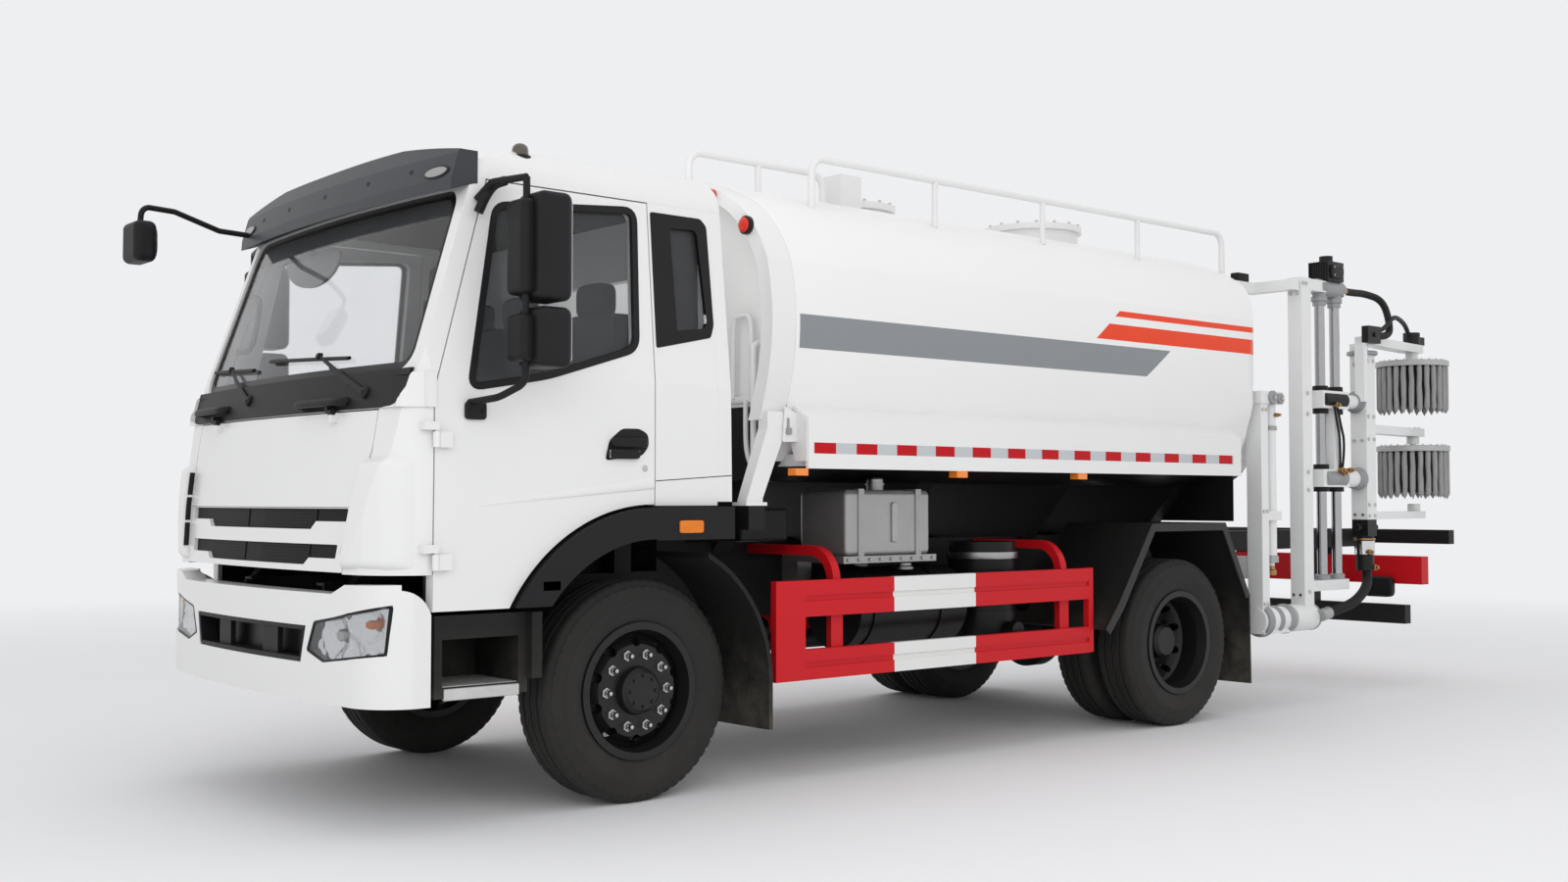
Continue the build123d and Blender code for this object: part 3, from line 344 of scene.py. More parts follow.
def ramp(tree, value, low, high):
    """Value stretched so that low gives 0 and high gives 1, held at both ends."""
    step = tree.nodes.new("ShaderNodeMapRange")
    step.inputs["From Min"].default_value = low
    step.inputs["From Max"].default_value = high
    link(tree, value, step.inputs["Value"])
    return step.outputs[0]


def mixed(tree, share, a, b):
    """Colour a going to colour b by share; a and b are sockets or colours."""
    step = tree.nodes.new("ShaderNodeMix")
    step.data_type = "RGBA"
    link(tree, share, step.inputs["Factor"])
    for key, value in (("A", a), ("B", b)):
        socket = [s for s in step.inputs if s.name == key and s.type == "RGBA"][0]
        if isinstance(value, tuple):
            socket.default_value = (*value, 1)
        else:
            link(tree, value, socket)
    return [s for s in step.outputs if s.type == "RGBA"][0]


def finish(name, colour, rough, metal=0.0, coat=0.0, shade=0.08, scale=3.0, bump=0.0, grain=300.0,
           spread=0.08, marks=None, dirt=None, stretch=None, gleam=0.5):
    """A surface whose colour drifts by slow noise and whose roughness and relief vary by fine noise."""
    made = bpy.data.materials.new(name)
    made.use_nodes = True
    tree = made.node_tree
    shader = tree.nodes["Principled BSDF"]
    shader.inputs["Metallic"].default_value = metal
    shader.inputs["Coat Weight"].default_value = coat
    shader.inputs["Specular IOR Level"].default_value = gleam
    place = tree.nodes.new("ShaderNodeTexCoord").outputs["Object"]
    dark = tuple(c * (1 - shade) for c in colour)
    pale = tuple(min(1, c * (1 + shade * 0.5)) for c in colour)
    tint = mixed(tree, noise(tree, place, scale, 4, stretch=stretch), dark, pale)
    if dirt is not None:
        high, low, dust, amount = dirt
        z = tree.nodes.new("ShaderNodeSeparateXYZ")
        link(tree, place, z.inputs[0])
        fade = ramp(tree, z.outputs["Z"], high, low)
        blotch = ramp(tree, noise(tree, place, 5.0, 6, 0.65), 0.35, 0.75)
        share = maths(tree, "MULTIPLY", maths(tree, "MULTIPLY", fade, blotch), amount)
        tint = mixed(tree, share, tint, dust)
    if marks is not None:
        tint = marks(tree, place, tint)
    link(tree, tint, shader.inputs["Base Color"])
    fine = noise(tree, place, grain, 3)
    gloss = tree.nodes.new("ShaderNodeMapRange")
    gloss.inputs["To Min"].default_value = max(0.02, rough - spread)
    gloss.inputs["To Max"].default_value = min(1, rough + spread)
    link(tree, fine, gloss.inputs["Value"])
    link(tree, gloss.outputs[0], shader.inputs["Roughness"])
    if bump:
        relief = tree.nodes.new("ShaderNodeBump")
        relief.inputs["Strength"].default_value = bump
        relief.inputs["Distance"].default_value = 0.002
        link(tree, fine, relief.inputs["Height"])
        link(tree, relief.outputs[0], shader.inputs["Normal"])
    return made


def between(tree, value, low, high):
    """1 where value is from low to high, else 0."""
    return maths(tree, "COMPARE", value, (low + high) / 2, (high - low) / 2)


def both_of(tree, *shares):
    """The product of shares of 0 or 1: 1 only where all of them are."""
    total = shares[0]
    for share in shares[1:]:
        total = maths(tree, "MULTIPLY", total, share)
    return total


def axes(tree, place):
    """The three coordinates of a place, each as a socket."""
    split = tree.nodes.new("ShaderNodeSeparateXYZ")
    link(tree, place, split.inputs[0])
    return split.outputs["X"], split.outputs["Y"], split.outputs["Z"]


# Near black painted on the tank's belly and lower front face as shade under the body
UNDER_BODY_SHADE = (0.010, 0.010, 0.011)
GREY_BAND = (0.235, 0.25, 0.265)
ORANGE = (0.76, 0.052, 0.010)
SIGNAL_RED = (0.47, 0.005, 0.010)
TAPE_GREY = (0.50, 0.52, 0.54)
GUARD_WHITE = (0.74, 0.74, 0.73)
LAMP_AMBER = (0.85, 0.23, 0.02)

# Where bands and tape lie, in m: heights, reach along the truck, and x + slant * height at a slanted end
TANK_FLANK = 0.9
TANK_FRONT = 2.1145
TANK_REAR = -1.96
# Heights in m below which the tank is painted near black as shade: the belly, and the front face under the
# cross bar
UNDER_SHADE_TOP = 1.565
FRONT_SHADE_TOP = 1.84
BAND_SLANT = 1.4
GREY_HEIGHTS = (2.113, 2.28)
GREY_FRONT = 2.09
GREY_LEAN = 2.27
ORANGE_HEIGHTS = ((2.312, 2.408), (2.455, 2.492))
ORANGE_LEAN = 3.03
SKIRT_FLANK = 1.236
TAPE_HEIGHTS = (1.598, 1.652)
TAPE_REACH = (-1.51, 2.04)
TAPE_PITCH = 0.2826
TAPE_FIRST = 2.038
TAPE_RED_SHARE = 0.51
GUARD_FLANK = 1.1
GUARD_WHITE_REACH = (0.001 * AXLE_X - 2.161, 0.001 * AXLE_X - 1.545)
SKIRT_LAMP_HEIGHTS = (1.4, 1.6)
REAR_LAMP_LIMIT = -3.0


def tank_bands(tree, place, tint):
    """Painted shade: near black under the belly and on the lower front face, for the shadow under the body; a
    long grey band with a slanted end and two orange bands on both sides.
    """
    x, y, z = axes(tree, place)
    lean = maths(tree, "MULTIPLY_ADD", z, BAND_SLANT, x)
    flank = maths(tree, "GREATER_THAN", maths(tree, "ABSOLUTE", y), TANK_FLANK)
    # Painted shade: the belly and the front face below the cross bar go near black
    tint = mixed(tree, maths(tree, "LESS_THAN", z, UNDER_SHADE_TOP), tint, UNDER_BODY_SHADE)
    front_recess_shade = both_of(tree, maths(tree, "GREATER_THAN", x, TANK_FRONT),
                        maths(tree, "LESS_THAN", z, FRONT_SHADE_TOP))
    tint = mixed(tree, front_recess_shade, tint, UNDER_BODY_SHADE)
    grey = both_of(tree, flank, between(tree, z, *GREY_HEIGHTS), maths(tree, "GREATER_THAN", lean, GREY_LEAN),
                   maths(tree, "LESS_THAN", x, GREY_FRONT))
    tint = mixed(tree, grey, tint, GREY_BAND)
    for heights in ORANGE_HEIGHTS:
        band = both_of(tree, flank, between(tree, z, *heights), maths(tree, "LESS_THAN", lean, ORANGE_LEAN),
                       maths(tree, "GREATER_THAN", x, TANK_REAR))
        tint = mixed(tree, band, tint, ORANGE)
    return tint


def skirt_tape(tree, place, tint):
    """Reflective tape along the skirts: red pieces with pale grey between them."""
    x, y, z = axes(tree, place)
    flank = maths(tree, "GREATER_THAN", maths(tree, "ABSOLUTE", y), SKIRT_FLANK)
    tape = both_of(tree, flank, between(tree, z, *TAPE_HEIGHTS), between(tree, x, *TAPE_REACH))
    turn = maths(tree, "FRACT", maths(tree, "MULTIPLY_ADD", x, -1 / TAPE_PITCH, 20 + TAPE_FIRST / TAPE_PITCH))
    red = maths(tree, "LESS_THAN", turn, TAPE_RED_SHARE)
    pale = mixed(tree, tape, tint, TAPE_GREY)
    return mixed(tree, both_of(tree, tape, red), pale, SIGNAL_RED)


def guard_white(tree, place, tint):
    """The white middle of each guard rail."""
    x, y, _ = axes(tree, place)
    share = both_of(tree, between(tree, x, *GUARD_WHITE_REACH),
                    maths(tree, "GREATER_THAN", maths(tree, "ABSOLUTE", y), GUARD_FLANK))
    return mixed(tree, share, tint, GUARD_WHITE)


def lamp_tints(tree, place, tint):
    """Amber lamps along the skirts, red ones on the arch and at the back."""
    x, _, z = axes(tree, place)
    skirt = both_of(tree, between(tree, z, *SKIRT_LAMP_HEIGHTS),
                    maths(tree, "GREATER_THAN", x, REAR_LAMP_LIMIT))
    return mixed(tree, skirt, tint, LAMP_AMBER)


DUST = (0.16, 0.14, 0.115)
white = finish("white_enamel", (0.745, 0.745, 0.742), 0.30, coat=0.35, shade=0.025, scale=1.2,
               grain=900, spread=0.05)
tank_white = finish("tank_enamel", (0.80, 0.80, 0.796), 0.34, coat=0.1, gleam=0.2, shade=0.03, scale=0.9,
                    grain=700, spread=0.05, marks=tank_bands)
skirt_white = finish("skirt_enamel", (0.765, 0.765, 0.762), 0.42, shade=0.03, scale=1.0,
                     marks=skirt_tape, gleam=0.15)
black = finish("chassis_black", (0.009, 0.009, 0.010), 0.5, shade=0.35, scale=6, bump=0.12, grain=420,
               dirt=(1.1, 0.3, DUST, 0.05), gleam=0.25)
satin = finish("satin_black", (0.006, 0.006, 0.007), 0.36, shade=0.2, scale=5, grain=500, gleam=0.28)
red = finish("guard_red", (0.57, 0.007, 0.013), 0.42, shade=0.1, scale=3, grain=600,
             marks=guard_white, gleam=0.25)
beam_red = finish("beam_red", (0.56, 0.004, 0.010), 0.42, shade=0.15, scale=3, gleam=0.25)
rig_white = finish("rig_enamel", (0.76, 0.765, 0.765), 0.36, coat=0.2, shade=0.06, scale=4,
                   grain=600, bump=0.03)
grey = finish("cast_grey", (0.33, 0.335, 0.34), 0.45, metal=0.4, shade=0.2, scale=9, bump=0.15, grain=380)
silver = finish("tank_silver", (0.40, 0.395, 0.39), 0.36, metal=0.75, shade=0.14, scale=5,
                grain=260, bump=0.05)
plastic = finish("grained_plastic", (0.009, 0.009, 0.010), 0.5, shade=0.2, scale=6, bump=0.2,
                 grain=900, gleam=0.25)
visor_grey = finish("visor_plastic", (0.036, 0.040, 0.046), 0.42, shade=0.1, scale=4, bump=0.08,
                    grain=900, gleam=0.35)
grille_black = finish("grille_plastic", (0.004, 0.004, 0.004), 0.5, shade=0.2, scale=6, bump=0.1,
                      grain=900, gleam=0.15)
flange_black = finish("flange_black", (0.024, 0.024, 0.025), 0.45, shade=0.2, scale=8, bump=0.1,
                      grain=600, gleam=0.3)
trim_grey = finish("cab_inner_plastic", (0.06, 0.063, 0.068), 0.6, shade=0.15, scale=6, bump=0.15,
                   grain=700, gleam=0.3)
pale_grey = finish("mirror_shell", (0.20, 0.205, 0.215), 0.5, shade=0.15, scale=6)
lining = finish("cab_lining", (0.028, 0.029, 0.032), 0.8, shade=0.2, scale=8, bump=0.3, grain=600, gleam=0.2)
rubber = finish("tyre_rubber", (0.021, 0.020, 0.019), 0.72, shade=0.25, scale=7, bump=0.22, grain=650,
                dirt=(0.95, 0.05, (0.05, 0.046, 0.04), 0.4), gleam=0.28)
flap = finish("flap_rubber", (0.011, 0.011, 0.0105), 0.68, shade=0.3, scale=9, bump=0.3, grain=300,
              dirt=(0.85, 0.25, (0.16, 0.148, 0.12), 0.7), gleam=0.25)
wheel_black = finish("wheel_black", (0.010, 0.010, 0.011), 0.36, shade=0.25, scale=9, grain=500, gleam=0.35)
nut_steel = finish("bright_nut", (0.62, 0.62, 0.60), 0.30, metal=1.0, shade=0.18, scale=40, grain=500)
rod_steel = finish("ground_rod", (0.46, 0.46, 0.47), 0.14, metal=1.0, shade=0.1, scale=20,
                   grain=300, spread=0.05)
chrome = finish("polished_rod", (0.70, 0.70, 0.71), 0.12, metal=1.0, shade=0.08, scale=20,
                grain=300, spread=0.05)
steel = finish("plain_steel", (0.45, 0.45, 0.45), 0.35, metal=1.0, shade=0.2, scale=14, grain=420, bump=0.05)
brass = finish("brass_fitting", (0.50, 0.27, 0.11), 0.33, metal=1.0, shade=0.25, scale=30, grain=500)
motor = finish("motor_black", (0.008, 0.008, 0.009), 0.40, shade=0.25, scale=12, bump=0.1,
               grain=600, gleam=0.3)
bristles = finish("grey_bristle", (0.33, 0.33, 0.325), 0.62, shade=0.45, scale=30, bump=0.3, grain=300,
                  stretch=(6, 6, 0.35))
hose_black = finish("hose_rubber", (0.008, 0.008, 0.008), 0.5, shade=0.25, scale=18, bump=0.12,
                    grain=700, gleam=0.3)
lamp_red = finish("lamp_colours", (0.55, 0.02, 0.012), 0.12, coat=0.6, shade=0.15, scale=30, marks=lamp_tints)
amber = finish("amber_lens", (0.74, 0.19, 0.006), 0.16, coat=0.15, shade=0.15, scale=40, gleam=0.35)
smoke = finish("smoked_lens", (0.085, 0.072, 0.052), 0.14, coat=0.5, shade=0.3, scale=40)
stop_red = finish("stop_lens", (0.62, 0.022, 0.006), 0.16, coat=0.3, shade=0.2, scale=60, gleam=0.35)
mirror_face = finish("mirror_face", (0.62, 0.64, 0.66), 0.04, metal=1.0, shade=0.03, scale=4, spread=0.02)
tread_plate = finish("step_tread", (0.60, 0.60, 0.59), 0.42, metal=0.6, shade=0.15, scale=20,
                     bump=0.2, grain=200)


def window(name, tint, rough, through):
    """Tinted clear glass that bends light little, its roughness varied by fine noise."""
    made = finish(name, tint, rough, shade=0.08, scale=3, spread=0.01)
    shader = made.node_tree.nodes["Principled BSDF"]
    shader.inputs["Transmission Weight"].default_value = through
    shader.inputs["IOR"].default_value = 1.2
    return made


glass = window("screen_glass", (0.97, 0.98, 0.985), 0.02, 0.98)
door_glass = window("door_window", (0.91, 0.925, 0.935), 0.02, 0.97)
lens = window("lamp_lens", (0.92, 0.93, 0.94), 0.03, 0.95)


def dress(material, *names):
    """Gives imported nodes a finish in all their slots."""
    for name in names:
        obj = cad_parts[name]
        if not obj.material_slots:
            obj.data.materials.append(material)
        for held in obj.material_slots:
            held.material = material


dress(white, "cab_front", "cab_roof", "cab_sides", "cab_rear_wall", "door_left", "door_right", "front_lid",
      "front_bumper", "front_arch", "tank_top_fittings")
dress(tank_white, "water_tank")
dress(skirt_white, "tank_skirts")
dress(black, "frame_ladder", "sub_frame", "front_axle", "rear_axle", "engine_block", "knuckle_left",
      "knuckle_right", "cab_floor", "battery_and_reservoir")
dress(satin, "fuel_tank", "exhaust_unit")
dress(silver, "oil_tank")
dress(red, "side_guards")
dress(beam_red, "underrun_beam")
dress(flap, "rear_mudguards", "front_wings")
dress(rubber, "tyre_front_left", "tyre_front_right", "tyres_rear_left", "tyres_rear_right")
dress(wheel_black, "wheel_front_left", "wheel_front_right", "wheels_rear_left", "wheels_rear_right")
dress(plastic, "cab_trim", "front_mirror", "mirror_left", "mirror_right")
dress(grille_black, "grille")
dress(visor_grey, "sun_visor")
dress(trim_grey, "cab_interior")
dress(glass, "cab_glass")
dress(door_glass, "door_glass_left", "door_glass_right")
dress(lens, "headlamps")
dress(lamp_red, "marker_lamps")
dress(rig_white, "mast_post", "mast_column", "lift_carriage", "brush_column")
dress(rod_steel, "guide_rods")
dress(motor, "mast_motor", "valve_block", "brush_motors")
dress(bristles, "brush_upper", "brush_lower")
dress(hose_black, "rig_hose")


# Tyres: ribbed tread, shoulder notches and stepped side walls
HALF_TYRE = [(-94, 292), (-104, 297), (-116, 312), (-122, 322), (-128, 345), (-134, 372), (-137, 392),
             (-138, 400), (-138, 412), (-136, 414), (-136, 424), (-134.5, 428), (-131, 446), (-126, 462),
             (-123.5, 472), (-119, 475), (-113, 488), (-107, 498), (-100, 504), (-90, 506), (-64, 506),
             (-60, 493), (-46, 493), (-42, 506), (-28, 506), (-26.5, 500), (-23, 500), (-21.5, 506),
             (-9, 506), (-5, 493)]


def tyre(x, y, steps=240):
    """The half profile and its mirror carried round the axle: swaying grooves, notched shoulders."""
    half = np.array(HALF_TYRE, float)
    section = np.vstack([half, half[::-1] * (-1, 1)])
    s, r = section[:, :1], section[:, 1:]
    a = around(steps)[None]
    groove = (np.abs(s) < 66) & (r > 480)
    sway = 2.2 * np.sign(np.sin(30 * a)) * groove
    notch = 7 * (np.sin(60 * a) > 0.3) * ((np.abs(s) > 98) & (np.abs(s) < 125) & (r > 470))
    reach = r - notch
    points = np.stack([x + reach * np.cos(a), y + s + sway + 0 * a, WHEEL_R + reach * np.sin(a)], -1)
    return grid(points, wrap_u=True, wrap_v=True)


for side, sign in (("left", 1), ("right", -1)):
    short = side[0]
    front = piece("road_tyre_front_" + side, [tyre(0, sign * 947)], "wheel_f" + short, rubber)
    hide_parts("tyre_front_" + side)
    pair = [tyre(REAR_X, sign * 1062), tyre(REAR_X, sign * 746)]
    rear = piece("road_tyres_rear_" + side, pair, "wheel_r" + short, rubber)
    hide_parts("tyres_rear_" + side)

# Wheel nuts, hub bolts and brake discs
NUT_CIRCLE = 167.5
HUB_CIRCLE = 70
TURN = around(10)
NUT = [(0, 0), (24, 0), (24, 5), (18, 6), (18, 26), (14, 30), (10, 30), (10, 40), (7, 42), (0, 42)]
for side in SIDES:
    front_wheel = "wheel_f" + side[0]
    spots = np.stack([NUT_CIRCLE * np.cos(TURN), 0 * TURN, WHEEL_R + NUT_CIRCLE * np.sin(TURN)], 1)
    nuts = stamped(turned(NUT, (0, 1043, 0), "y", 6), spots)
    small = around(8)
    ring = np.stack([HUB_CIRCLE * np.cos(small), 0 * small, WHEEL_R + HUB_CIRCLE * np.sin(small)], 1)
    caps = stamped(stud((0, 1097, 0), "y", 8, 8), ring)
    piece("wheel_nuts_" + side, on_hand(side, nuts), front_wheel, nut_steel)
    piece("hub_bolts_" + side, on_hand(side, caps), front_wheel, wheel_black)
    drum = turned([(60, 0), (222, 0), (226, -3), (226, -14), (60, -14)], (0, 984, WHEEL_R), "y", 48)
    piece("brake_disc_" + side, on_hand(side, drum), front_wheel, black)
    deep = stamped(turned(NUT, (0, 966, 0), "y", 6), spots + (REAR_X, 0, 0))
    piece("rear_nuts_" + side, on_hand(side, deep), "wheel_r" + side[0], wheel_black)

# Window surrounds
DOOR_WINDOW = [(938, 1838), (786, 2628), (62, 2690), (84, 2052), (560, 1905)]
QUARTER_OUT = [(-26, 2062), (-26, 2694), (-318, 2694), (-352, 2660), (-366, 2190), (-345, 2130)]
QUARTER_IN = [(-150, 2150), (-136, 2628), (-276, 2634), (-292, 2618), (-326, 2205), (-308, 2172)]
SCREEN = [(-1095, 1905), (1095, 1905), (1040, 2690), (-1040, 2690)]
door_line = rounded(DOOR_WINDOW, 60, 6)
for side in SIDES:
    seal = on_side(rim(pushed(door_line, 16), pushed(door_line, -16), -16, 4))
    piece("window_seal_" + side, on_hand(side, seal), "door_" + side, plastic)
quarter = on_side(rim(rounded(QUARTER_OUT, 14, 4), rounded(QUARTER_IN, 9, 4), -16, 3))
piece("quarter_surround", mirrored(quarter), "cab", satin)
screen_line = rounded(SCREEN, 110, 6)
dense = close_set(screen_line, 12)
border = on_nose(rim(dense, pushed(dense, -38), -17.5, -13, "yz", 1.0))
piece("screen_border", [border], "cab", satin)


def corner_lift(y):
    """How much further along x a step square to the nose reaches, as the nose turns into the side."""
    return np.interp(np.abs(y), [0, 880, 1010, 1080, 1130, 1178], [1, 1.05, 1.4, 1.7, 2.7, 3])


# Below and above the screen: a dark sill, white cheeks that round off the cowl, and a dark band inside the
# top of the screen, partly a sun strip and partly painted shadow under the visor
sill_y = np.linspace(-1126, 1126, 60)
sill = on_nose(pane(sill_y, 1884, 1912, 6.5 * corner_lift(sill_y)[:, None], -4, 3))
piece("screen_sill", [sill], "cab", plastic)
cheek_y = np.concatenate([np.linspace(1000, 1100, 9), np.linspace(1106, 1178, 25)])
cheek_top = np.interp(cheek_y, [1000, 1060, 1112, 1128, 1139, 1146, 1150],
                      [1752, 1756, 1772, 1795, 1832, 1886, 1893])
proud = 10.5 * corner_lift(cheek_y) * np.interp(cheek_y, [1095, 1128, 1146, 1178], [1, 1.4, 1.55, 1.3])
cheek = on_nose(pane(cheek_y, 1750, cheek_top, proud[:, None], -6, 8))
piece("cowl_cheeks", mirrored(cheek), "cab", white)
shade_y = np.linspace(-1030, 1030, 40)
# Dark band behind the top of the screen: partly a sun strip, partly painted shadow under the visor
piece("screen_strip_and_shadow", [on_nose(pane(shade_y, 2572, 2700, -44, -48))], "cab", lining)


# Grilles: staggered mesh in the middle of each slot, with a plain centre
def mesh_holes(tree, place, tint):
    """Rows of small dark holes, every second row shifted by half a hole, over y and z."""
    _, y, z = axes(tree, place)
    across = tree.nodes.new("ShaderNodeCombineXYZ")
    link(tree, y, across.inputs["X"])
    link(tree, z, across.inputs["Y"])
    rows = tree.nodes.new("ShaderNodeTexBrick")
    rows.inputs["Scale"].default_value = 1.0
    rows.inputs["Brick Width"].default_value = 0.026
    rows.inputs["Row Height"].default_value = 0.014
    rows.inputs["Mortar Size"].default_value = 0.0034
    rows.inputs["Mortar Smooth"].default_value = 0.3
    link(tree, across.outputs[0], rows.inputs["Vector"])
    return mixed(tree, rows.outputs["Fac"], (0.0008, 0.0008, 0.0008), (0.010, 0.010, 0.011))


mesh_black = finish("grille_mesh", (0.01, 0.01, 0.01), 0.5, marks=mesh_holes, gleam=0.12)
meshes = []
for low, deep, high, middle in ((1284, 1251, 1333, 545), (1131, 1101, 1183, 515)):
    for start, end in ((-middle - 20, -110), (70, middle + 20)):
        y = np.linspace(start, end, 24)
        edge = np.interp(np.abs(y), [middle, middle + 30], [deep, low])
        meshes.append(on_nose(pane(y, edge, high, -15, -17)))
piece("grille_mesh", meshes, "front_lid", mesh_black)
line_y = np.linspace(-884, 884, 60)
seam = on_nose(pane(line_y, 1339.5, 1342, 0.5, -3, 2))
piece("lid_seam", [seam], "front_lid", satin)


# Air ducts on the cab's front corners: each stands off the nose at its inner edge and runs out to the side
def duct_edge(z):
    """The y of a duct's inner edge, which leans outward with height."""
    return 848 + (z - 1072) * 0.2


DUCT_LOW = 1086
DUCT_HIGH = 1548
rise = np.linspace(DUCT_LOW, DUCT_HIGH, 40)[:, None]
inner_y = duct_edge(rise)
share = np.concatenate([[0, 0], np.linspace(0.015, 1, 30), [1]])[None]
wide = inner_y + share * (1146 - inner_y)
ease = np.clip(np.minimum((rise - DUCT_LOW) / 30, (DUCT_HIGH - rise) / 36), 0, 1) ** 0.6
edge = np.clip(share / 0.03, 0, 1) * np.clip((1 - share) / 0.08, 0, 1) ** 0.6
stand = (36 - 22 * share) * edge * ease * corner_lift(wide)
stand[:, 0] = -3
stand[:, -1] = -3
stand = np.where(ease == 0, -3, stand)
duct = grid(np.stack([nose_x(wide, rise + 0 * wide) + stand, wide, rise + 0 * wide], -1), wrap_v=True)
piece("corner_duct", mirrored(duct), "cab", white)
vents = []
for low, high in ((1150, 1262), (1274, 1386), (1398, 1508)):
    z = np.linspace(low, high, 12)[:, None]
    deep = np.array([[4, 29, 29, 4]])
    side = duct_edge(z) + np.array([[-1.5, -1.5, 1.5, 1.5]])
    vents.append(grid(np.stack([nose_x(side, z + 0 * side) + deep + 0 * z, side, z + 0 * side], -1),
                      wrap_v=True))
piece("duct_vents", mirrored(*vents), "cab", satin)

# Bumper: the middle opening's frame with two posts, and the headlamps
INTAKE = [(-560, 690), (560, 690), (600, 845), (-600, 845)]
opening = close_set(rounded(INTAKE, 26, 4), 6)
frame_ring = on_bumper(rim(opening, pushed(opening, -20), -80, -4, "yz"))
posts = [on_bumper(pane(np.linspace(a, b, 5), 690, 845, -26, -50)) for a, b in ((-355, -215), (150, 300))]
grate = on_bumper(pane(np.linspace(-580, 580, 12), 690, 845, -86, -90))
piece("intake_frame", [frame_ring] + posts, "chassis", plastic)
piece("intake_back", [grate], "chassis", satin)

LAMP = [(612, 742), (742, 700), (1105, 745), (1118, 948), (840, 893), (668, 866)]
lamp_y = np.linspace(614, 1116, 60)
lamp_low = np.interp(lamp_y, [612, 742, 1105, 1118], [742, 700, 745, 948])
lamp_high = np.interp(lamp_y, [612, 668, 840, 1118], [742, 866, 893, 948])
lamp_z = lamp_low[:, None] + (lamp_high - lamp_low)[:, None] * np.linspace(0, 1, 36)


def bowl(y, z, radius):
    """The depth of a round reflector: a parabola in the distance from its middle, with fine ribs."""
    dy, dz = lamp_y[:, None] - y, lamp_z - z
    away = np.hypot(dy, dz) / radius
    return np.where(away < 1, (1 - away ** 2) * (1 + 0.05 * np.sin(14 * np.arctan2(dz, dy))), 0)


facets = 3 * np.sin(lamp_y[:, None] / 9) * np.sin(lamp_z / 14)
depth = -26 - 34 * bowl(800, 812, 92) - 30 * bowl(1000, 862, 80) - 22 * bowl(930, 765, 60) + facets
reflector = on_bumper(pane(lamp_y, lamp_low, lamp_high, depth, -66, 36))
cover = on_bumper(pane(lamp_y, lamp_low, lamp_high, -3, -5, 8))
piece("lamp_reflectors", mirrored(reflector), "chassis", chrome, 60)
shield = piece("lamp_covers", mirrored(cover), "chassis", lens)
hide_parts("headlamps")
lamp_line = close_set(rounded(LAMP, 12, 3), 6)
border = on_bumper(rim(pushed(lamp_line, 2), pushed(lamp_line, -9), -60, 1.5, "yz"))
piece("lamp_borders", mirrored(border), "chassis", satin)
BULB = [(0, -60), (17, -56), (20, -34), (14, -20), (0, -14)]
bulbs = [on_bumper(turned(BULB, (0, 1012, 866), "x", 16))]
piece("turn_bulbs", mirrored(*bulbs), "chassis", amber)
cups = [on_bumper(turned([(0, -62), (26, -60), (26, -44), (20, -38), (0, -38)], (0, 800, 812), "x", 20))]
piece("lamp_cups", mirrored(*cups), "chassis", steel)

# Cowl: two wipers and two grab handles
wipers = []
for pivot, bend, ends in (((830, 1822), (312, 2011), ((-230, 2022), (581, 1984))),
                          ((-309, 1838), (-751, 2016), ((-1050, 2022), (-418, 1992)))):
    wipers.append(on_nose(turned([(0, 0), (26, 0), (26, 16), (18, 24), (0, 24)], (0, *pivot), "x", 18)))
    arm = np.linspace((20, *pivot), (4, *bend), 14)
    wipers.append(on_nose(swept(arm, np.linspace(13, 8, 14), 8, (1, 0, 0), 0.6)))
    link_rod = arm[4:11] + (0, 26, -20)
    wipers.append(on_nose(swept(link_rod, 5, 6, (1, 0, 0))))
    (y0, z0), (y1, z1) = ends
    blade = np.linspace((-4, y0, z0), (-4, y1, z1), 24)
    wipers.append(on_nose(swept(blade, 9, 8, (1, 0, 0), 1.2)))
    wipers.append(on_nose(stud((-6, *bend), "x", 14, 22, 12)))
piece("wipers", wipers, "cab", plastic)
grips = []
for y0, y1, z in ((-985, -570, 1806), (310, 705, 1788)):
    run = bent([(4, y0, z), (34, y0 + 4, z), (46, y0 + 50, z), (46, y1 - 50, z), (34, y1 - 4, z),
                (4, y1, z)], 2)
    grips.append(on_nose(swept(run, 19, 12, (0, 0, 1))))
piece("cowl_handles", grips, "cab", plastic)


# Visor lamps, roof lamps and the lid's hinge pins
def on_visor(part):
    """Takes x as height above the visor's face, which bows like the nose."""
    v = part[0].copy()
    reach = np.interp(v[:, 2], [2668, 2720, 2830, 2910], [1068, 1064, 1034, 988]) + NOSE_BOW
    v[:, 0] += np.sqrt(reach ** 2 - v[:, 1] ** 2) - NOSE_BOW
    return v, part[1]


VISOR_LAMP_Z = 2757


def oval(half_wide, half_high, front):
    """An ellipse on the visor, its half height falling to nothing at both ends."""
    turn = np.linspace(0, np.pi, 24)
    tall = half_high * np.sin(turn) + 0.5
    return on_visor(pane(980 - half_wide * np.cos(turn), VISOR_LAMP_Z - tall, VISOR_LAMP_Z + tall, front, -6))


piece("visor_lamps", mirrored(oval(76, 20, 7)), "cab", silver)
piece("visor_lamp_seats", mirrored(oval(88, 28, 4)), "cab", satin)
dents = [on_visor(turned([(0, -2), (11, -2), (11, 1.5), (7, 0), (0, 0)], (0, y, 2785), "x", 14))
         for y in (-780, -420, 0, 420, 780)]
piece("visor_screws", dents, "cab", satin)
ROOF_LAMP = (595, 985, 2868)
DOME = [(37, 6), (37, 38), (33, 54), (22, 65), (10, 69), (0, 70)]
piece("roof_lamps", mirrored(turned(DOME, ROOF_LAMP, "z", 28)), "cab", smoke)
seat = turned([(0, -30), (50, -30), (50, 8), (46, 14), (38, 16), (0, 16)], ROOF_LAMP, "z", 28)
piece("roof_lamp_seats", mirrored(seat), "cab", satin)

knuckles = [turned([(0, -18), (13.5, -18), (13.5, 18), (0, 18)], (1298, y, 1745), "y", 20)
            for y in (-630, 630)]
piece("lid_knuckles", knuckles, "front_lid", plastic)

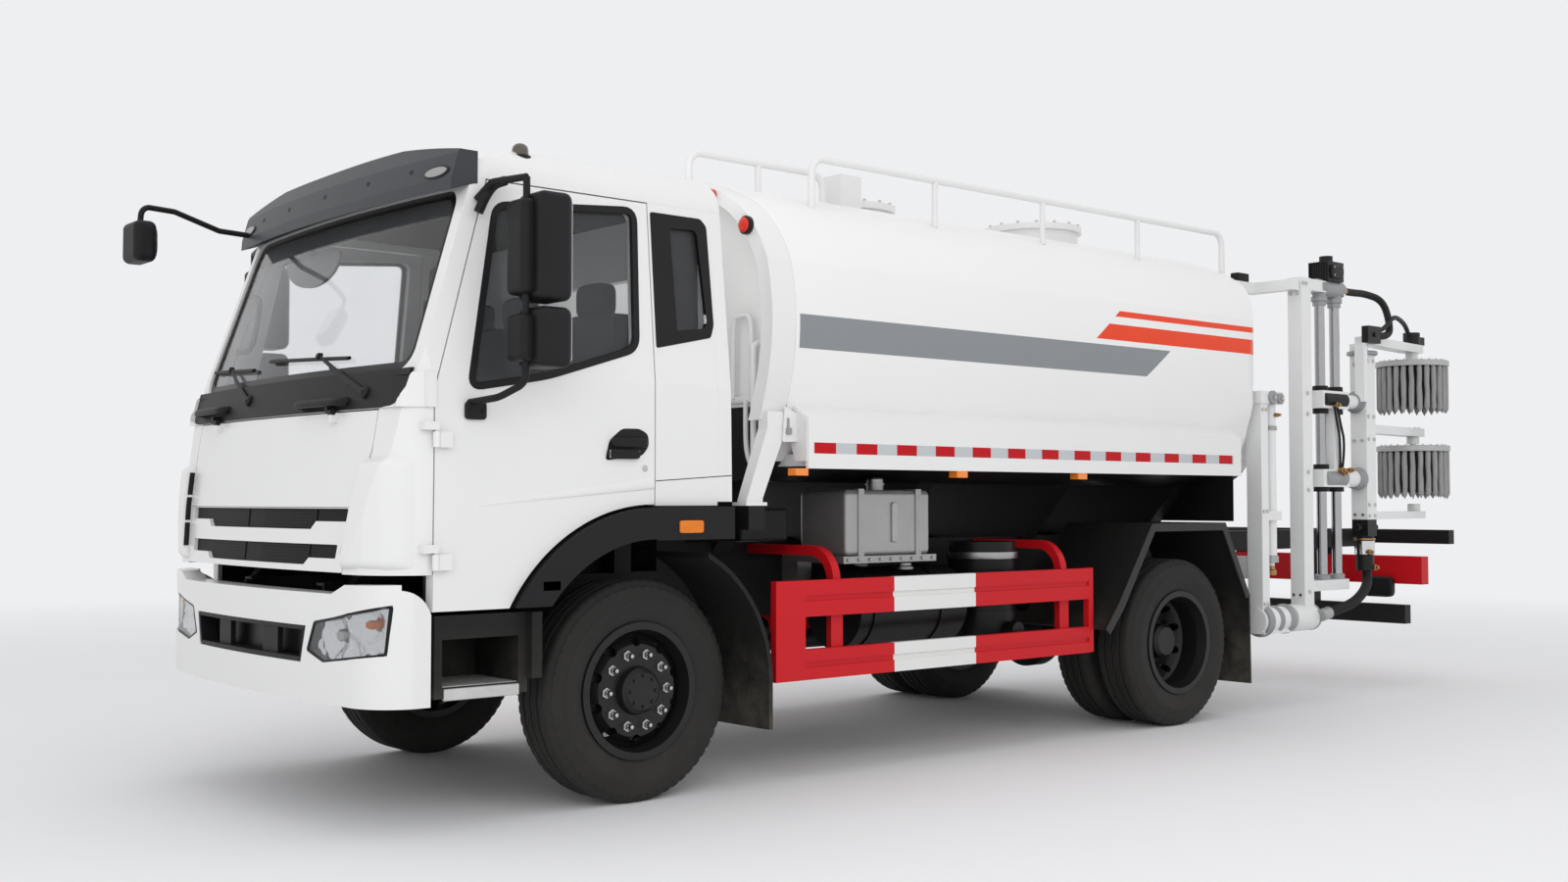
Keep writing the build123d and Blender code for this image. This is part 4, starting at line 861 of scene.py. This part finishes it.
# Doors: handle recess with a lever, lock, crease, and the mirrors' foot, stay and faces
RECESS = [(262, 1546), (240, 1636), (172, 1690), (76, 1692), (28, 1668), (24, 1615), (60, 1570)]
crease = np.linspace((890, 0, 1350), (-2, 0, 1450), 40)
for side in SIDES:
    door = "door_" + side
    recess = on_side(plate(rounded(RECESS, 20, 5), -4, 2, "xz", 1.5))
    bar = cushion(84, 254, 1160, 1190, 1554, 1598, 0.35, 14, 28)
    lever = cushion(44, 236, 1160, 1192, 1606, 1648, 0.35, 14, 28)
    foot = on_side(plate(rounded([(868, 1705), (965, 1705), (965, 1780), (868, 1780)], 18, 5),
                         -2, 22, "xz", 5))
    arms = [on_side(stud((x, 2, 1742), "y", 9, 24, 6)) for x in (888, 945)]
    piece("door_handle_" + side, on_hand(side, recess, bar, lever, foot, *arms), door, plastic)
    stay = bent([(894, 1146, 2576), (872, 1160, 2640), (832, 1166, 2700), (776, 1166, 2722)], 2)
    piece("mirror_stay_" + side, on_hand(side, swept(stay, 21, 12, (0, 1, 0))), door, plastic)
    ridge = on_side(swept(crease, np.linspace(5, 30, 40), 14, (0, 1, 0), 0.3))
    piece("door_crease_" + side, on_hand(side, ridge), door, white)
    lock = on_side(turned([(0, 0), (15, 0), (15, 2), (11, 4), (0, 4)], (46, 0, 1514), "y", 20))
    piece("door_lock_" + side, on_hand(side, lock), door, nut_steel)
    faces = [plate(rounded([(1310, low), (1472, low), (1472, high), (1310, high)], 26, 5), 644, 637, "yz", 2)
             for low, high in ((2212, 2618), (1936, 2144))]
    piece("mirror_faces_" + side, on_hand(side, *faces), door, mirror_face)
round_face = plate(rounded([(-985, 2540), (-815, 2540), (-815, 2710), (-985, 2710)], 60, 8),
                   1534, 1527, "yz", 3)
piece("front_mirror_face", [round_face], "cab", mirror_face)

seam_run = np.linspace((-16, 0, 1458), (-472, 0, 1488), 30)
seams = on_side(swept(seam_run, 2.2, 6, (0, 1, 0), 0.6))
piece("quarter_seam", mirrored(seams), "cab", satin)

# Lamps and a blank plate on the flares, bright step edges, guard bolts
flare_lamp = cushion(-260, -123, 1186, 1209, 1221, 1279, 0.22, 14, 28)
piece("flare_plates", mirrored(brick(508, 602, 1190, 1200, 984, 1026, 4, 1.5)), "cab",
      tread_plate)
piece("flare_lamps", mirrored(flare_lamp), "cab", amber)
treads = [brick(688, 1042, 1139, 1157, 551, 599, 4, 3), brick(694, 1046, 800, 1148, 606, 609, 4, 1)]
piece("step_edges", mirrored(*treads), "chassis", tread_plate)
spots = [(x, 1140, z) for x in (-800, -890, -1155, -1205, -2925, -2975) for z in (540, 592, 850, 928)]
heads = bolt_set("y", 10, 7, spots)
piece("guard_bolts", mirrored(heads), "chassis", nut_steel)

# Inside the cab: padded seat covers, lining, inner mirror and grips on the pillars
pads = []
for y, w in ((500, 260), (-420, 440)):
    pads += [cushion(-70, 452, y - w - 8, y + w + 8, 1560, 1722),
             cushion(-212, -40, y - w - 8, y + w + 8, 1640, 2275)]
    pads += [cushion(-190, -80, y + k - 120, y + k + 120, 2262, 2430, 0.45)
             for k in ((0,) if w < 300 else (-220, 220))]
cloth = finish("seat_cloth", (0.055, 0.058, 0.065), 0.85, shade=0.3, scale=40, bump=0.5, grain=900)
seats = piece("seat_covers", pads, "cab", cloth, 80)
walls = [brick(-414, -406, -1060, 1060, 1402, 2060, 4, 2), brick(-414, -406, -1060, 1060, 2620, 2760, 4, 2)]
walls += mirrored(brick(-356, -30, 1050, 1056, 1960, 2740, 4, 2),
                  brick(-400, -20, 1058, 1066, 1402, 1960, 4, 2))
walls += [brick(-414, -406, y - 200, y + 200, 2040, 2640, 4, 2) for y in (-860, 860)]
walls.append(brick(-400, 780, -1020, 1020, 2772, 2780, 4, 2))
piece("cab_lining", walls, "cab", lining)
moon = np.linspace(0, np.pi, 30)
inside = [pane(-430 - 300 * np.cos(moon), 2556 - 140 * np.sin(moon), 2558 + 12 * np.sin(moon), 908, 892)]
inside.append(swept(bent([(900, -430, 2560), (915, -430, 2650), (920, -430, 2740)], 1), 10, 8, (0, 1, 0)))
piece("inner_mirror", inside, "cab", pale_grey)
grip = bent([(985, -1010, 2420), (950, -985, 2420), (935, -980, 2380), (965, -1000, 2160),
             (1000, -1010, 2130), (1040, -1030, 2130)], 2)
piece("pillar_grips", mirrored(swept(grip, 14, 10, (0, 1, 0))), "cab", trim_grey)

# Arch lamps, and a plate with a latch at the front of each skirt
ARCH_LAMP = (-666, 1012, 2716)
arch_lamp = turned([(0, 0), (38, 0), (38, 16), (30, 24), (14, 28), (0, 28)], ARCH_LAMP, "x", 32)
piece("arch_lamps", mirrored(arch_lamp), "chassis", stop_red)
arch_ring = turned([(0, -14), (46, -14), (46, 8), (40, 12), (38, 12), (38, 0), (0, 0)], ARCH_LAMP, "x", 32)
piece("arch_lamp_rings", mirrored(arch_ring), "chassis", satin)
SKIRT_END = [(-792, 1826), (-874, 1790), (-874, 1655), (-778, 1652)]
piece("skirt_ends", mirrored(plate(rounded(SKIRT_END, 10, 4), 1152, 1164, "xz", 2)), "chassis",
      white)
LATCH_PAD = [(-822, 1690), (-794, 1690), (-794, 1722), (-822, 1722)]
LATCH_BAR = [(-812, 1716), (-802, 1716), (-802, 1770), (-812, 1770)]
latch = [plate(rounded(LATCH_PAD, 8, 4), 1162, 1182, "xz", 3),
         plate(rounded(LATCH_BAR, 3, 3), 1162, 1172, "xz", 1.5)]
end_cap = plate([(1112, 1838), (1238, 1766), (1238, 1560), (1150, 1560), (1112, 1660)], -874, -866, "yz", 1.5)
piece("skirt_caps", mirrored(end_cap), "chassis", white)
piece("skirt_latches", mirrored(*latch), "chassis", grey)

# A dark box by the outrigger, a black sheet behind the rear mudguards as painted shade under the tank, guard
# end posts and mudguard flanges
piece("air_box", mirrored(cushion(-1090, -770, 520, 850, 1165, 1330, 0.12)), "chassis", black)
# A black sheet that fills the gap behind the rear mudguards with painted shade under the tank
shade_sheet = plate([(-1100, 1556), (1100, 1556), (1100, 1236), (-1100, 1236)], -4670, -4663, "yz", 1)
piece("rear_shade_sheet", [shade_sheet], "chassis", black)
end_post = brick(-3166, -3126, 1106, 1152, 493, 980, 5, 3)
piece("guard_end_posts", mirrored(end_post), "chassis", red)
SHEET = np.array([(778, 630), (650, 780), (332, 1232), (-426, 1232), (-690, 760)])
FLANGE = np.array([(738, 596), (606, 742), (304, 1184), (-398, 1184), (-646, 750)])
along = np.linspace(0, 4, 49)
lines = [np.stack([np.interp(along, range(5), line[:, k]) for k in (0, 1)], 1) for line in (SHEET, FLANGE)]
band = np.stack([lines[k] for k in (0, 0, 1, 1)], 1)
across = np.array([1225, 1236, 1236, 1225]) + np.zeros((49, 1))
section = np.stack([band[:, :, 0] + REAR_X, across, band[:, :, 1]], -1)
caps = [np.broadcast_to(row.mean(0), row.shape)[None] for row in (section[0], section[-1])]
flange = grid(np.concatenate([caps[0], section, caps[1]]), wrap_v=True)
piece("mudguard_flanges", mirrored(flange), "chassis", flange_black)

# Tanks under the body: oil tank bolts and cap, drum straps
spots = [(x, 1010, z) for x in (-1870, -1450) for z in (1110, 1250, 1390)]
spots += [(x, 1021, 1064) for x in np.linspace(-1960, -1340, 9)]
oil_bolts = bolt_set("y", 9, 8, spots)
cap = turned([(0, 0), (52, 0), (52, 8), (44, 10), (44, 30), (38, 36), (0, 36)], (-1650, 900, 1452), "z", 24)
gauge = plate(rounded([(-1700, 1150), (-1660, 1150), (-1660, 1360), (-1700, 1360)], 12, 4),
              1006, 1022, "xz", 3)
piece("oil_tank_fittings", [oil_bolts, cap, gauge], "chassis", steel)
caps = [turned([(0, 0), (58, 0), (58, 14), (46, 20), (46, 34), (0, 36)], (-1900, 860, 998), "z", 24)]
caps.append(turned([(192, 0), (203, 0), (204, 4), (204, 34), (203, 38), (192, 38)],
                   (-2600, 800, 1040), "z", 48))
piece("drum_fittings", caps, "chassis", steel)

# Tank top: bolts round both covers
spots = []
for x, r, top in ((-2300, 272, 3132), (-4000, 312, 3192)):
    a = around(16)
    spots += list(np.stack([x + r * np.cos(a), r * np.sin(a), 0 * a + top - 2], 1))
piece("cover_bolts", [bolt_set("z", 11, 14, spots)], "chassis", nut_steel)

# Rig on the chassis: post flanges, bolts, cylinder glands, unions and a box
eyes = [turned([(0, 0), (46, 0), (46, 14), (40, 20), (0, 20)], (-4945, 1214, 2040), "y", 28),
        turned([(0, 0), (36, 0), (36, 16), (30, 22), (0, 22)], (-5030, 1214, 2036), "y", 24)]
for x, y, z, r in ((-4870, RIG_Y, 590, 108), (-5140, RIG_Y, 590, 98), (-5010, RIG_Y, 590, 92)):
    eyes.append(turned([(84, -24), (r, -24), (r, 0), (r - 8, 24), (84, 24)], (x, y, z), "x", 36))
piece("post_flanges", eyes, "chassis", grey)
spots = [(-4945, 1232, 2040), (-5030, 1234, 2036), (-4850, 1204, 1960), (-4890, 1204, 1960),
         (-4850, 1204, 700), (-4890, 1204, 700), (-4850, 1204, 1300), (-4890, 1204, 1300)]
bolts = [bolt_set("y", 12, 11, spots)]
piece("post_bolts", bolts, "chassis", nut_steel)
gland = [turned([(18, 0), (44, 0), (44, 40), (38, 46), (34, 46)], (RAM_X, RIG_Y, 964), "z", 28),
         turned([(34, 0), (42, 4), (42, 26), (34, 30)], (RAM_X, RIG_Y, 1830), "z", 28)]
piece("cylinder_glands", gland, "chassis", steel)
FORK = [(0, 0), (26, 0), (30, 8), (30, 30), (20, 40), (20, 62), (0, 62)]
fork = [turned(FORK, (RAM_X, RIG_Y, 880), "z", 20),
        turned([(0, 0), (14, 0), (14, 24), (9, 28), (9, 44), (0, 44)], (RAM_X, 1184, 1930), "y", 14)]
piece("cylinder_unions", fork, "chassis", brass)
deck_box = brick(-5190, -5060, 834, 896, 2850, 2908, 6, 5)
piece("deck_box", [deck_box], "chassis", plastic)

# Rig on the mast: head tee, rod collars, shaft end, motor fins and bolts
tee = [turned([(0, 0), (50, 0), (58, 6), (58, 34), (66, 38), (66, 60), (66, 250), (58, 256), (58, 300),
               (0, 304)], (-5905, RIG_Y, TEE_Z), "x", 32)]
for x in ROD_X:
    tee.append(turned([(34.5, 0), (44, 0), (44, 26), (54, 32), (54, 60), (46, 64), (46, 90)],
                      (x, RIG_Y, 2702), "z", 28))
    tee.append(turned([(34.5, 0), (50, 0), (50, 34), (42, 40), (34.5, 40)], (x, RIG_Y, 828), "z", 28))
piece("mast_tees", tee, "mast", grey)
spots = [(-5390, 1202, z) for z in (2830, 2090, 1950, 1560, 1440, 760)] + [(-5350, 1202, 2830)]
bolts = [bolt_set("y", 13, 12, spots)]
bolts.append(bolt_set("x", 12, 10, [(-5333, y, z) for y in (1125, 1175) for z in (2760, 2840, 740)]))
piece("mast_bolts", bolts, "mast", nut_steel)
shaft_end = [turned([(0, 0), (64, 0), (70, 8), (92, 14), (92, 34), (84, 40), (0, 40)],
                    (-5490, RIG_Y, 590), "x", 32)]
piece("shaft_end", shaft_end, "mast", grey)
fins = [brick(-5836, -5634, RIG_Y + k - 3, RIG_Y + k + 3, 2872, 3006, 2, 2) for k in range(-72, 73, 18)]
fins += [brick(-5890, -5826, 1118, 1186, 2906, 2986, 8, 6),
         cushion(-5815, -5655, 1215, 1245, 2890, 2984, 0.4, 12, 20)]
piece("motor_fins", fins, "mast", motor)
spots = [(x, 1246, z) for x in (-5790, -5680) for z in (2910, 2964)]
piece("motor_screws", [bolt_set("y", 6, 5, spots)], "mast", nut_steel)

# Rig on the carriage: black sleeves, joints and brass unions
sleeve = [turned([(0, 0), (50, 0), (56, 6), (56, 284), (50, 290), (0, 290)], (-5885, 1176, 2058), "x", 32)]
for x in ROD_X:
    for z in (2118, 1962, 1582, 1430):
        sleeve.append(turned([(35.5, 0), (50, 0), (52, 4), (52, 30), (50, 34), (35.5, 34)],
                             (x, RIG_Y, z), "z", 28))
piece("carriage_sleeves", sleeve, "carriage", plastic)
UPPER_JOINT = [(0, 0), (72, 0), (78, 6), (78, 26), (62, 34), (62, 60), (0, 60)]
LOWER_JOINT = [(0, 0), (74, 0), (80, 6), (80, 26), (70, 34), (70, 74), (0, 74)]
LOWER_SLEEVE = [(0, 0), (52, 0), (60, 8), (60, 250), (52, 258), (0, 258)]
joints = [turned(UPPER_JOINT, (-6118, RIG_Y, 2058), "x", 32),
          turned(LOWER_JOINT, (-6128, RIG_Y, 1522), "x", 32),
          turned(LOWER_SLEEVE, (-5868, 1176, 1522), "x", 32)]
piece("carriage_joints", joints, "carriage", grey)
UNION = [(0, 0), (14, 0), (14, 16), (19, 18), (19, 34), (12, 38), (12, 54), (0, 54)]
unions = [turned(UNION, (x, 1212, z), "y", 12)
          for x, z in ((-5700, 2020), (-5760, 1578), (-5790, 1560), (-5870, 1578))]
piece("carriage_unions", unions, "carriage", brass)

# Rig on the brush head: column bolts, flange, filter bowl, brass unions
spots = [(HEAD_X + k, 1210, z) for k in (-38, 38) for z in (2350, 1960, 1800, 1340, 1262)]
bolts = [bolt_set("y", 12, 11, spots)]
bolts.append(bolt_set("x", 12, 10, [(-6136, y, z) for y in (1120, 1180) for z in (2330, 1790, 1270)]))
a = around(8)
for low in (2530, 1905):
    ring = np.stack([BRUSH_X + 52 * np.cos(a), BRUSH_Y + 46 * np.sin(a), 0 * a + low], 1)
    bolts.append(bolt_set("z", 7, 9, ring))
piece("head_bolts", bolts, "head", nut_steel)
flange = [turned([(0, 0), (96, 0), (104, 5), (104, 24), (96, 30), (0, 30)], (HEAD_X, RIG_Y, 2392), "z", 36)]
piece("head_flange", flange, "head", grey)
bowl_part = [turned([(62, 0), (69, 3), (69, 96), (62, 100)], (HEAD_X, RIG_Y, 990), "z", 36)]
piece("filter_bowl", bowl_part, "head", chrome)
copper = [turned([(62, 0), (74, 2), (74, 12), (62, 14)], (HEAD_X, RIG_Y, 1092), "z", 36),
          turned(UNION, (-6215, 1190, 900), "y", 12), turned(UNION, (-6150, 1190, 1010), "y", 12)]
piece("head_unions", copper, "head", brass)


# Brushes: a flanged disc with hanging bristle strips, ragged at the foot
def strip_set(top, count=27):
    """Ellipses stacked down each strip, wavering with height, each strip's foot at its own length."""
    k = np.arange(count)[:, None, None]
    drop = np.linspace(0, 1, 12)[None, :, None]
    a = around(10)[None, None]
    wave = 1.4 * np.sin(9 * drop + 2.1 * k) + 0.8 * np.sin(17 * drop + k)
    closed = np.where((drop == 0) | (drop == 1), 0.05, 1.0)
    out = 234 + 18 * closed * np.cos(a) * (1 - 0.04 * np.sin(3 * k))
    side = (19 + 1.5 * np.sin(5 * k + 7 * drop)) * closed * np.sin(a) + wave
    turn = 2 * np.pi * k / count
    z = top - 22 - drop * (366 + 8 * np.sin(7.3 * k)) + 0 * a
    points = np.stack([BRUSH_X + out * np.cos(turn) - side * np.sin(turn),
                       BRUSH_Y + out * np.sin(turn) + side * np.cos(turn), z], -1)
    return [grid(block, wrap_v=True) for block in points]


core_dark = finish("brush_core", (0.030, 0.030, 0.030), 0.8, shade=0.4, scale=40, bump=0.4,
                   grain=300, gleam=0.15)
disc_grey = finish("brush_disc", (0.46, 0.465, 0.46), 0.5, metal=0.2, shade=0.15, scale=12,
                   grain=400, bump=0.06)
for name, top in (("brush_upper", 2405), ("brush_lower", 1775)):
    hub = (BRUSH_X, BRUSH_Y, top)
    disc = [turned([(24, 0), (60, 0), (60, -6), (190, -6), (196, 0), (252, 0), (258, -4), (258, -40),
                    (250, -44), (244, -30), (24, -30)], hub, "z", 72)]
    disc.append(turned([(24, -30), (70, -30), (70, -130), (64, -136), (24, -136)], hub, "z", 36))
    core = turned([(24, -40), (190, -40), (196, -50), (188, -330), (176, -344), (24, -344)], hub, "z", 60)
    piece(name + "_core", [core], name, core_dark)
    made = piece(name + "_disc", disc, name, disc_grey)
    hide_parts(name)
    piece(name + "_strips", strip_set(top), name, bristles, 70)
    a = around(24)
    ring = np.stack([BRUSH_X + 226 * np.cos(a), BRUSH_Y + 226 * np.sin(a), 0 * a + top], 1)
    piece(name + "_bolts", [bolt_set("z", 8, 9, ring)], name, nut_steel)

# Tank front: a cross bar, and on both sides a grab loop above it and a grab rail below it
TANK_FACE = -830
GRAB_X = TANK_FACE + 34
bars = [brick(TANK_FACE, TANK_FACE + 30, -1060, 1060, 1858, 1892, 5, 3)]
for side in (1, -1):
    t = np.linspace(0, np.pi, 60)
    lobe = 0.5 - 0.5 * np.sign(np.cos(t)) * np.abs(np.cos(t)) ** 0.35
    rise = np.abs(np.sin(t)) ** 0.35
    path = np.stack([0 * t + GRAB_X, side * (904 - 150 * lobe), 1880 + 415 * rise], 1)
    bars.append(swept(path, 14, 12, (1, 0, 0)))
    drop = np.linspace(0, 1, 30)
    path = np.stack([0 * drop + GRAB_X, side * (856 + 75 * drop ** 6), 1870 - 355 * drop], 1)
    bars.append(swept(path, 13, 12, (1, 0, 0)))
piece("tank_front_rails", bars, "chassis", white, 50)

# Rear lamp housings on the front of the red beam
housing = [(705, 650), (945, 650), (945, 800), (705, 800)]
both = [np.array(housing, float), np.array(housing, float) * (-1, 1)]
piece("rear_lamp_housings", [plate(rounded(side, 45), -6940, -7001, "yz", 12) for side in both], "chassis",
      plastic, 35)

# Hoses and cables: the step along a route in m, and how many steps make one rib
ROUTE_STEP = 0.0045
RIB_STEPS = 4


def route(name, points):
    """Even points along a smooth spline that a few stations draw, and its length, both in m."""
    curve = bpy.data.curves.new(name, "CURVE")
    curve.dimensions = "3D"
    line = curve.splines.new("NURBS")
    line.points.add(len(points) - 1)
    stations = np.hstack([(np.array(points, float) + AXLE) * 0.001, np.ones((len(points), 1))])
    line.points.foreach_set("co", stations.ravel())
    line.order_u = 3
    line.use_endpoint_u = True
    line.resolution_u = 24
    holder = bpy.data.objects.new(name, curve)
    bpy.context.scene.collection.objects.link(holder)
    bpy.context.view_layer.update()
    read = bpy.data.meshes.new_from_object(holder)
    found = np.zeros(len(read.vertices) * 3)
    read.vertices.foreach_get("co", found)
    found = found.reshape(-1, 3)
    bpy.data.objects.remove(holder)
    bpy.data.meshes.remove(read)
    gone = np.concatenate([[0], np.cumsum(np.linalg.norm(np.diff(found, axis=0), axis=1))])
    even = np.linspace(0, gone[-1], int(gone[-1] / ROUTE_STEP))
    path = np.stack([np.interp(even, gone, found[:, k]) for k in range(3)], 1)
    return path, gone[-1]


def hose(name, points, radius, body, up):
    """A ribbed tube along a route: the radius rises and falls once every RIB_STEPS points."""
    path, length = route(name, points)
    ribs = radius * (1 - 0.05 * (1 + np.cos(np.arange(len(path)) * 2 * np.pi / RIB_STEPS)))
    made = piece(name, [swept(path * 1000 - AXLE, ribs, 16, up)], body, hose_black)
    return made, path, length


RIG_HOSE = [(-5918, RIG_Y, TEE_Z), (-6080, RIG_Y, TEE_Z), (-6240, 1152, 2836), (-6420, 1190, 2800),
            (-6440, 1230, 2640), (-6400, 1245, 2530), (-6246, 1245, 2530)]
upper, path, length = hose("rig_hose_upper", RIG_HOSE, 26, None, (0, 1, 0))
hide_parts("rig_hose")
tuple(path[0])
tuple(path[-1])
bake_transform(upper)
tuple(path[0])
union = [turned([(0, 0), (30, 0), (30, 18), (24, 22), (24, 60), (0, 60)], (-5966, RIG_Y, TEE_Z), "x", 16)]
piece("hose_union", union, "mast", brass)
BRUSH_HOSE = [(-6244, 1250, 2566), (-6330, 1250, 2580), (-6480, 1235, 2690), (-6760, 1150, 2680),
              (-6960, 1080, 2650), (-7016, 1064, 2606)]
across, path, length = hose("brush_hose", BRUSH_HOSE, 17, None, (0, 1, 0))
tuple(path[0])
tuple(path[-1])
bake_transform(across)
tuple(path[0])
PUMP_HOSE = [(-6198, 1160, 886), (-6196, 1168, 840), (-6110, 1212, 770), (-5910, 1256, 690),
             (-5730, 1252, 640), (-5510, 1250, 612)]
drain, path, length = hose("pump_hose", PUMP_HOSE, 34, "head", (0, 1, 0))
foot = path[-1] * 1000 - AXLE
sleeve = np.linspace(foot - (30, -3, -6), foot + (60, -6, -11), 6)
cuff = piece("pump_hose_cuff", [swept(sleeve, 41, 20, (0, 1, 0))], "head", steel)
tuple(path[0])
CABLES = {"front": [(-5700, 1222, 2010), (-5705, 1232, 1920), (-5745, 1236, 1790), (-5760, 1224, 1600)],
          "rear": [(-5735, 1222, 2010), (-5745, 1236, 1900), (-5800, 1240, 1760), (-5790, 1224, 1600)]}
for place, stations in CABLES.items():
    cable, path, length = hose("carriage_cable_" + place, stations, 9, "carriage", (1, 0, 0))
    tuple(path[0])

# Camera, floor and light
camera = bpy.data.objects.new("camera", bpy.data.cameras.new("camera"))
camera.location = (7.233, 7.033, 1.370)
camera.rotation_euler = np.radians((90 + 2.123, 0, 229.175 - 90))
camera.data.lens = 36.80
camera.data.sensor_width = 36
bpy.context.scene.collection.objects.link(camera)
bpy.context.scene.camera = camera

PALE = (0.86, 0.865, 0.88)
SKY_STRENGTH = 0.78


def seen_share(tree):
    """1 for rays from the camera, mirrors and glass, else 0."""
    path = tree.nodes.new("ShaderNodeLightPath")
    total = maths(tree, "MAXIMUM", path.outputs["Is Camera Ray"], path.outputs["Is Glossy Ray"])
    return maths(tree, "MAXIMUM", total, path.outputs["Is Transmission Ray"])


world = bpy.data.worlds.new("studio")
bpy.context.scene.world = world
world.use_nodes = True
tree = world.node_tree
soft = tree.nodes["Background"]
soft.inputs["Color"].default_value = (1, 1, 1, 1)
soft.inputs["Strength"].default_value = SKY_STRENGTH
shown = tree.nodes.new("ShaderNodeBackground")
shown.inputs["Color"].default_value = (*PALE, 1)
choose = tree.nodes.new("ShaderNodeMixShader")
link(tree, seen_share(tree), choose.inputs[0])
link(tree, soft.outputs[0], choose.inputs[1])
link(tree, shown.outputs[0], choose.inputs[2])
link(tree, choose.outputs[0], tree.nodes["World Output"].inputs["Surface"])

# The paper floor: half its width in mm, and from where to where it fades into the backdrop in m
FLOOR_HALF = 30000
FLOOR_FADE = (7.0, 16.0)
span = np.linspace(-FLOOR_HALF, FLOOR_HALF, 25)
u, v = np.meshgrid(span, span, indexing="ij")
points, faces = grid(np.stack([u, v, 0 * u], -1))
mesh = bpy.data.meshes.new("studio_floor")
mesh.from_pydata(points * 0.001, [], faces[:, ::-1].tolist())
floor = bpy.data.objects.new("studio_floor", mesh)
bpy.context.scene.collection.objects.link(floor)
paper = finish("studio_paper", (0.83, 0.835, 0.85), 0.8, shade=0.02, scale=0.4)
tree = paper.node_tree
far = tree.nodes.new("ShaderNodeEmission")
far.inputs["Color"].default_value = (*PALE, 1)
blend = tree.nodes.new("ShaderNodeMixShader")
place = tree.nodes.new("ShaderNodeTexCoord").outputs["Object"]
reach = tree.nodes.new("ShaderNodeVectorMath")
reach.operation = "LENGTH"
link(tree, place, reach.inputs[0])
link(tree, ramp(tree, reach.outputs["Value"], *FLOOR_FADE), blend.inputs[0])
link(tree, tree.nodes["Principled BSDF"].outputs[0], blend.inputs[1])
link(tree, far.outputs[0], blend.inputs[2])
link(tree, blend.outputs[0], tree.nodes["Material Output"].inputs["Surface"])
mesh.materials.append(paper)

# Each light: its name, place, aim, size in m and power in W
LIGHTS = (("overhead", (0.5, 0.5, 9.0), (0, 0, 0), 10.0, 150),
          ("left_side", (3.0, 9.6, 4.8), (0, 0, 1.4), 6.0, 105),
          ("front_left", (8.6, 7.4, 4.4), (1, 0, 1.4), 5.0, 170),
          ("front", (11.0, 0.5, 3.6), (0, 0, 1.4), 4.0, 35),
          ("tank_front", (2.42, 0.25, 2.3), (0, 0.25, 2.3), 1.7, 3.4))
for name, spot, aim, size, power in LIGHTS:
    lamp = bpy.data.lights.new(name, "AREA")
    lamp.size = size
    lamp.energy = power
    holder = bpy.data.objects.new(name, lamp)
    holder.location = spot
    heading = np.array(aim) - np.array(spot)
    flat = np.hypot(heading[0], heading[1])
    holder.rotation_euler = (np.arctan2(flat, -heading[2]), 0, np.arctan2(heading[1], heading[0]) - np.pi / 2)
    holder.visible_camera = holder.visible_glossy = holder.visible_transmission = False
    bpy.context.scene.collection.objects.link(holder)

bpy.context.scene.view_settings.view_transform = "Standard"
